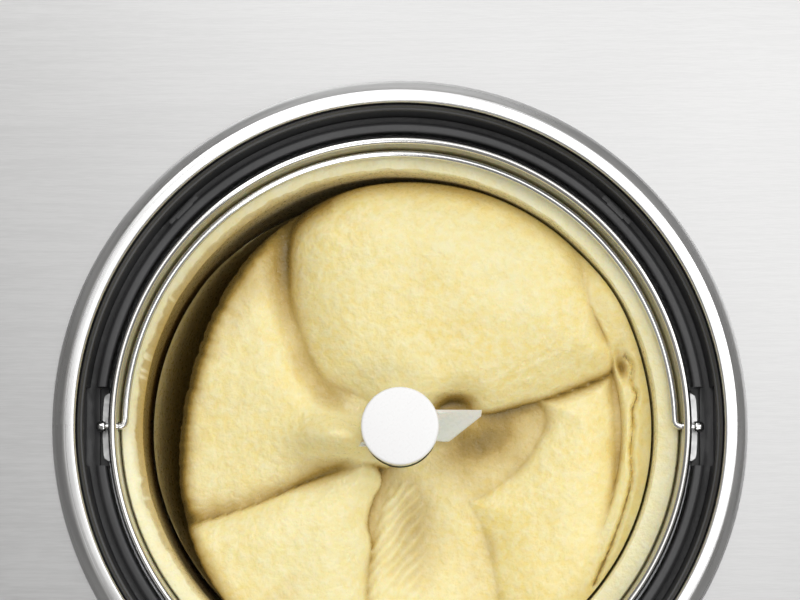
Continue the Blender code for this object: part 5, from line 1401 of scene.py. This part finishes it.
for name in button_names:
    spot = middle_mm(name)
    well_cut = [
        (0, PLATE_TOP - 8), (7.4, PLATE_TOP - 8), (7.4, FASCIA_TOP - 0.4), (7.9, FASCIA_TOP + 0.2),
        (7.9, FASCIA_TOP + 3), (0, FASCIA_TOP + 3),
    ]
    fascia = cut(fascia, turned(well_cut, spot, gloss_black, 48, closed=False))
fascia = cut(
    fascia,
    turned(
        [(0, PLATE_TOP - 8), (4, PLATE_TOP - 8), (4, FASCIA_TOP + 3), (0, FASCIA_TOP + 3)],
        knob_middle,
        gloss_black,
        32,
        closed=False,
    ),
)
lens_low, lens_high = box_mm("display_lens")
lens_size, lens_middle = lens_high - lens_low, (lens_low + lens_high) / 2
window_size = (lens_size.x + 0.6, lens_size.y + 0.6, 2.0)
window = [rounded_loop(*window_size, z, lens_middle, 5) for z in (PLATE_TOP - 8, FASCIA_TOP + 3)]
fascia = cut(fascia, lofted(window))
new_piece("control_plate", fascia, gloss_black, "base", "gloss_black", "control_fascia")

lens_loops = []
for inset, z in ((0, lens_low.z), (0, lens_high.z - 0.3), (0.3, lens_high.z)):
    lens_loops.append(
        rounded_loop(lens_size.x - 2 * inset, lens_size.y - 2 * inset, 1.7 - inset, z, lens_middle, 5)
    )
smoked = grained(
    "smoked_lens", (0.004, 0.006, 0.008), (0.010, 0.013, 0.016), (0.04, 0.08), 40, 0.01, cloud=6.0
)
new_piece("display_window", lofted(lens_loops), smoked, "base", "gloss_black", "display_lens")

printed = grained("printed_marks", (0.62, 0.62, 0.62), (0.78, 0.78, 0.78), (0.4, 0.5), 900, 0.05)
tick = slab((22.6, -0.25, 0.0), (25.4, 0.25, 0.06), 0.05)
tick_angles = [math.radians(135 + 270 * i / 24) for i in range(25)]
tick_facings = [(math.cos(a + math.pi / 2), math.sin(a + math.pi / 2), 0) for a in tick_angles]
tick_spots = [(knob_middle.x, knob_middle.y, FASCIA_TOP + 0.01)] * len(tick_facings)
new_piece(
    "dial_ticks", set_out(tick, tick_spots, printed, tick_facings), printed, "base", "white_plastic"
)

segment = slab((-2.2, -0.45, 0.0), (2.2, 0.45, 0.05), 0.3)
segment_spots, segment_facings = [], []
for digit in range(4):
    x = lens_middle.x - 19.5 + digit * 12.2 + (3.0 if digit > 1 else 0)
    for dx, dy, upright in (
        (0, 6.2, 0),
        (0, 0, 0),
        (0, -6.2, 0),
        (-3.1, 3.1, 1),
        (3.1, 3.1, 1),
        (-3.1, -3.1, 1),
        (3.1, -3.1, 1),
    ):
        segment_spots.append((x + dx, lens_middle.y + dy, lens_high.z + 0.01))
        segment_facings.append((0, 1, 0) if upright else (1, 0, 0))
unlit = grained("unlit_segments", (0.05, 0.07, 0.08), (0.08, 0.10, 0.11), (0.2, 0.3), 300, 0.02)
new_piece(
    "display_segments",
    set_out(segment, segment_spots, unlit, segment_facings),
    unlit,
    "base",
    "gloss_black",
)

dial_finish = turned_finish(
    "dial_finish", (0.55, 0.55, 0.55), (0.80, 0.80, 0.80), (0.2, 0.34), knob_middle, 2400, 0.15
)
foot = FASCIA_TOP + 0.6
dial_profile = [
    (0, knob_low.z), (3.0, knob_low.z), (3.0, foot), (20.0, foot), (20.0, foot + 1.5),
    (19.2, foot + 2.0), (18.4, knob_high.z - 1.6), (17.0, knob_high.z), (13.5, knob_high.z),
    (12.8, knob_high.z - 0.6), (0, knob_high.z - 0.6),
]
dial = turned(softened(dial_profile, 0.5, closed=False), knob_middle, dial_finish, 120, closed=False)
rib = slab((18.15, -0.42, foot + 2.2), (19.15, 0.42, knob_high.z - 2.0), 0.3)
rib_angles = [math.tau * i / 60 for i in range(60)]
rib_facings = [(math.cos(a), math.sin(a), 0) for a in rib_angles]
ribs = set_out(rib, [(knob_middle.x, knob_middle.y, 0)] * 60, dial_finish, rib_facings)
dial = cut(dial, ribs, "UNION")
pointer = slab(
    (knob_middle.x - 0.5, knob_middle.y + 8.0, knob_high.z - 2),
    (knob_middle.x + 0.5, knob_middle.y + 16.0, knob_high.z + 2),
    0.45,
)
pointer_cut = cut(dial, pointer)
new_piece("timer_dial", pointer_cut, dial_finish, "knob", "satin_ring", "timer_knob")

for name, body in zip(button_names, ("cool", "power", "start")):
    low, high = box_mm(name)
    spot = (low + high) / 2
    finish = turned_finish(
        f"{name}_finish", (0.60, 0.60, 0.60), (0.82, 0.82, 0.82), (0.22, 0.36), spot, 2600
    )
    under = fascia_low.z - 0.3
    profile = [
        (0, low.z), (3, low.z), (3, under - 2), (9, under - 2), (9, under), (7, under),
        (7, high.z - 0.3), (6.4, high.z), (4, high.z - 0.25), (0, high.z - 0.4),
    ]
    new_piece(
        f"{name}_cap",
        turned(softened(profile, 0.3, closed=False, steps=2), spot, finish, 56, closed=False),
        None,
        body,
        "satin_ring",
        name,
    )

# The studio: a pale matt floor, a soft light nearly overhead, one behind, four weak ones in a ring above
# the machine to shape its round parts, and a dim warm surround. The light on the left is all but off.
floor_bm = bmesh.new()
half = 3.0
floor_plan = ((-half, -half), (half, -half), (half, half), (-half, half))
floor_bm.faces.new([floor_bm.verts.new((x, y, -0.0005)) for x, y in floor_plan])
floor_mesh = bpy.data.meshes.new("studio_floor")
floor_bm.to_mesh(floor_mesh)
floor_bm.free()
floor_finish = grained(
    "pale_floor", (0.80, 0.80, 0.79), (0.84, 0.84, 0.83), (0.7, 0.8), 60, 0.02, cloud=2.0
)
floor_mesh.materials.append(floor_finish)
studio_floor = bpy.data.objects.new("studio_floor", floor_mesh)
bpy.context.scene.collection.objects.link(studio_floor)

TARGET = Vector((AXIS.x, AXIS.y, PLATE_TOP)) * MM


def soft_light(name, offset, width, depth, energy):
    """A rectangular softbox aimed at the bowl, unseen by the camera."""
    light = bpy.data.lights.new(name, "AREA")
    light.shape = "RECTANGLE"
    light.size, light.size_y = width, depth
    light.energy = energy
    holder = bpy.data.objects.new(name, light)
    holder.location = TARGET + Vector(offset)
    holder.rotation_euler = (-Vector(offset)).to_track_quat("-Z", "Y").to_euler()
    holder.visible_camera = False
    bpy.context.scene.collection.objects.link(holder)


soft_light("overhead_softbox", (0.2, 0.26, 1.25), 0.9, 0.9, 4.4)
soft_light("rear_softbox", (0.1, 1.5, 0.7), 1.1, 0.9, 3.6)
RING_REACH, RING_HEIGHT = 0.9, 1.07
for number, (turn, energy) in enumerate(((20, 3.0), (110, 4.0), (200, 0.2), (290, 4.2)), 1):
    x = RING_REACH * math.cos(math.radians(turn))
    y = RING_REACH * math.sin(math.radians(turn))
    soft_light(f"side_softbox_{number}", (x, y, RING_HEIGHT), 0.6, 0.6, energy)
world = bpy.data.worlds.new("studio")
bpy.context.scene.world = world
world.use_nodes = True
world.node_tree.nodes["Background"].inputs[0].default_value = (1.0, 0.98, 0.95, 1.0)
world.node_tree.nodes["Background"].inputs[1].default_value = 0.26
bpy.context.scene.view_settings.view_transform = "Standard"

# The camera looks down on the bowl from just in front of it, through a long lens.
camera_data = bpy.data.cameras.new("camera")
camera = bpy.data.objects.new("camera", camera_data)
bpy.context.scene.collection.objects.link(camera)
bpy.context.scene.camera = camera
FRAME_WIDTH = 232.9 * MM
DISTANCE = 1.0
ELEVATION = math.radians(85)
aim = TARGET + Vector((0, 36.5, 0)) * MM
direction = Vector((0, -math.cos(ELEVATION), math.sin(ELEVATION)))
camera.location = aim + direction * DISTANCE
camera.rotation_euler = (-direction).to_track_quat("-Z", "Y").to_euler()
camera_data.sensor_width = 36.0
camera_data.lens = 36.0 * DISTANCE / FRAME_WIDTH
camera_data.clip_start = 0.05
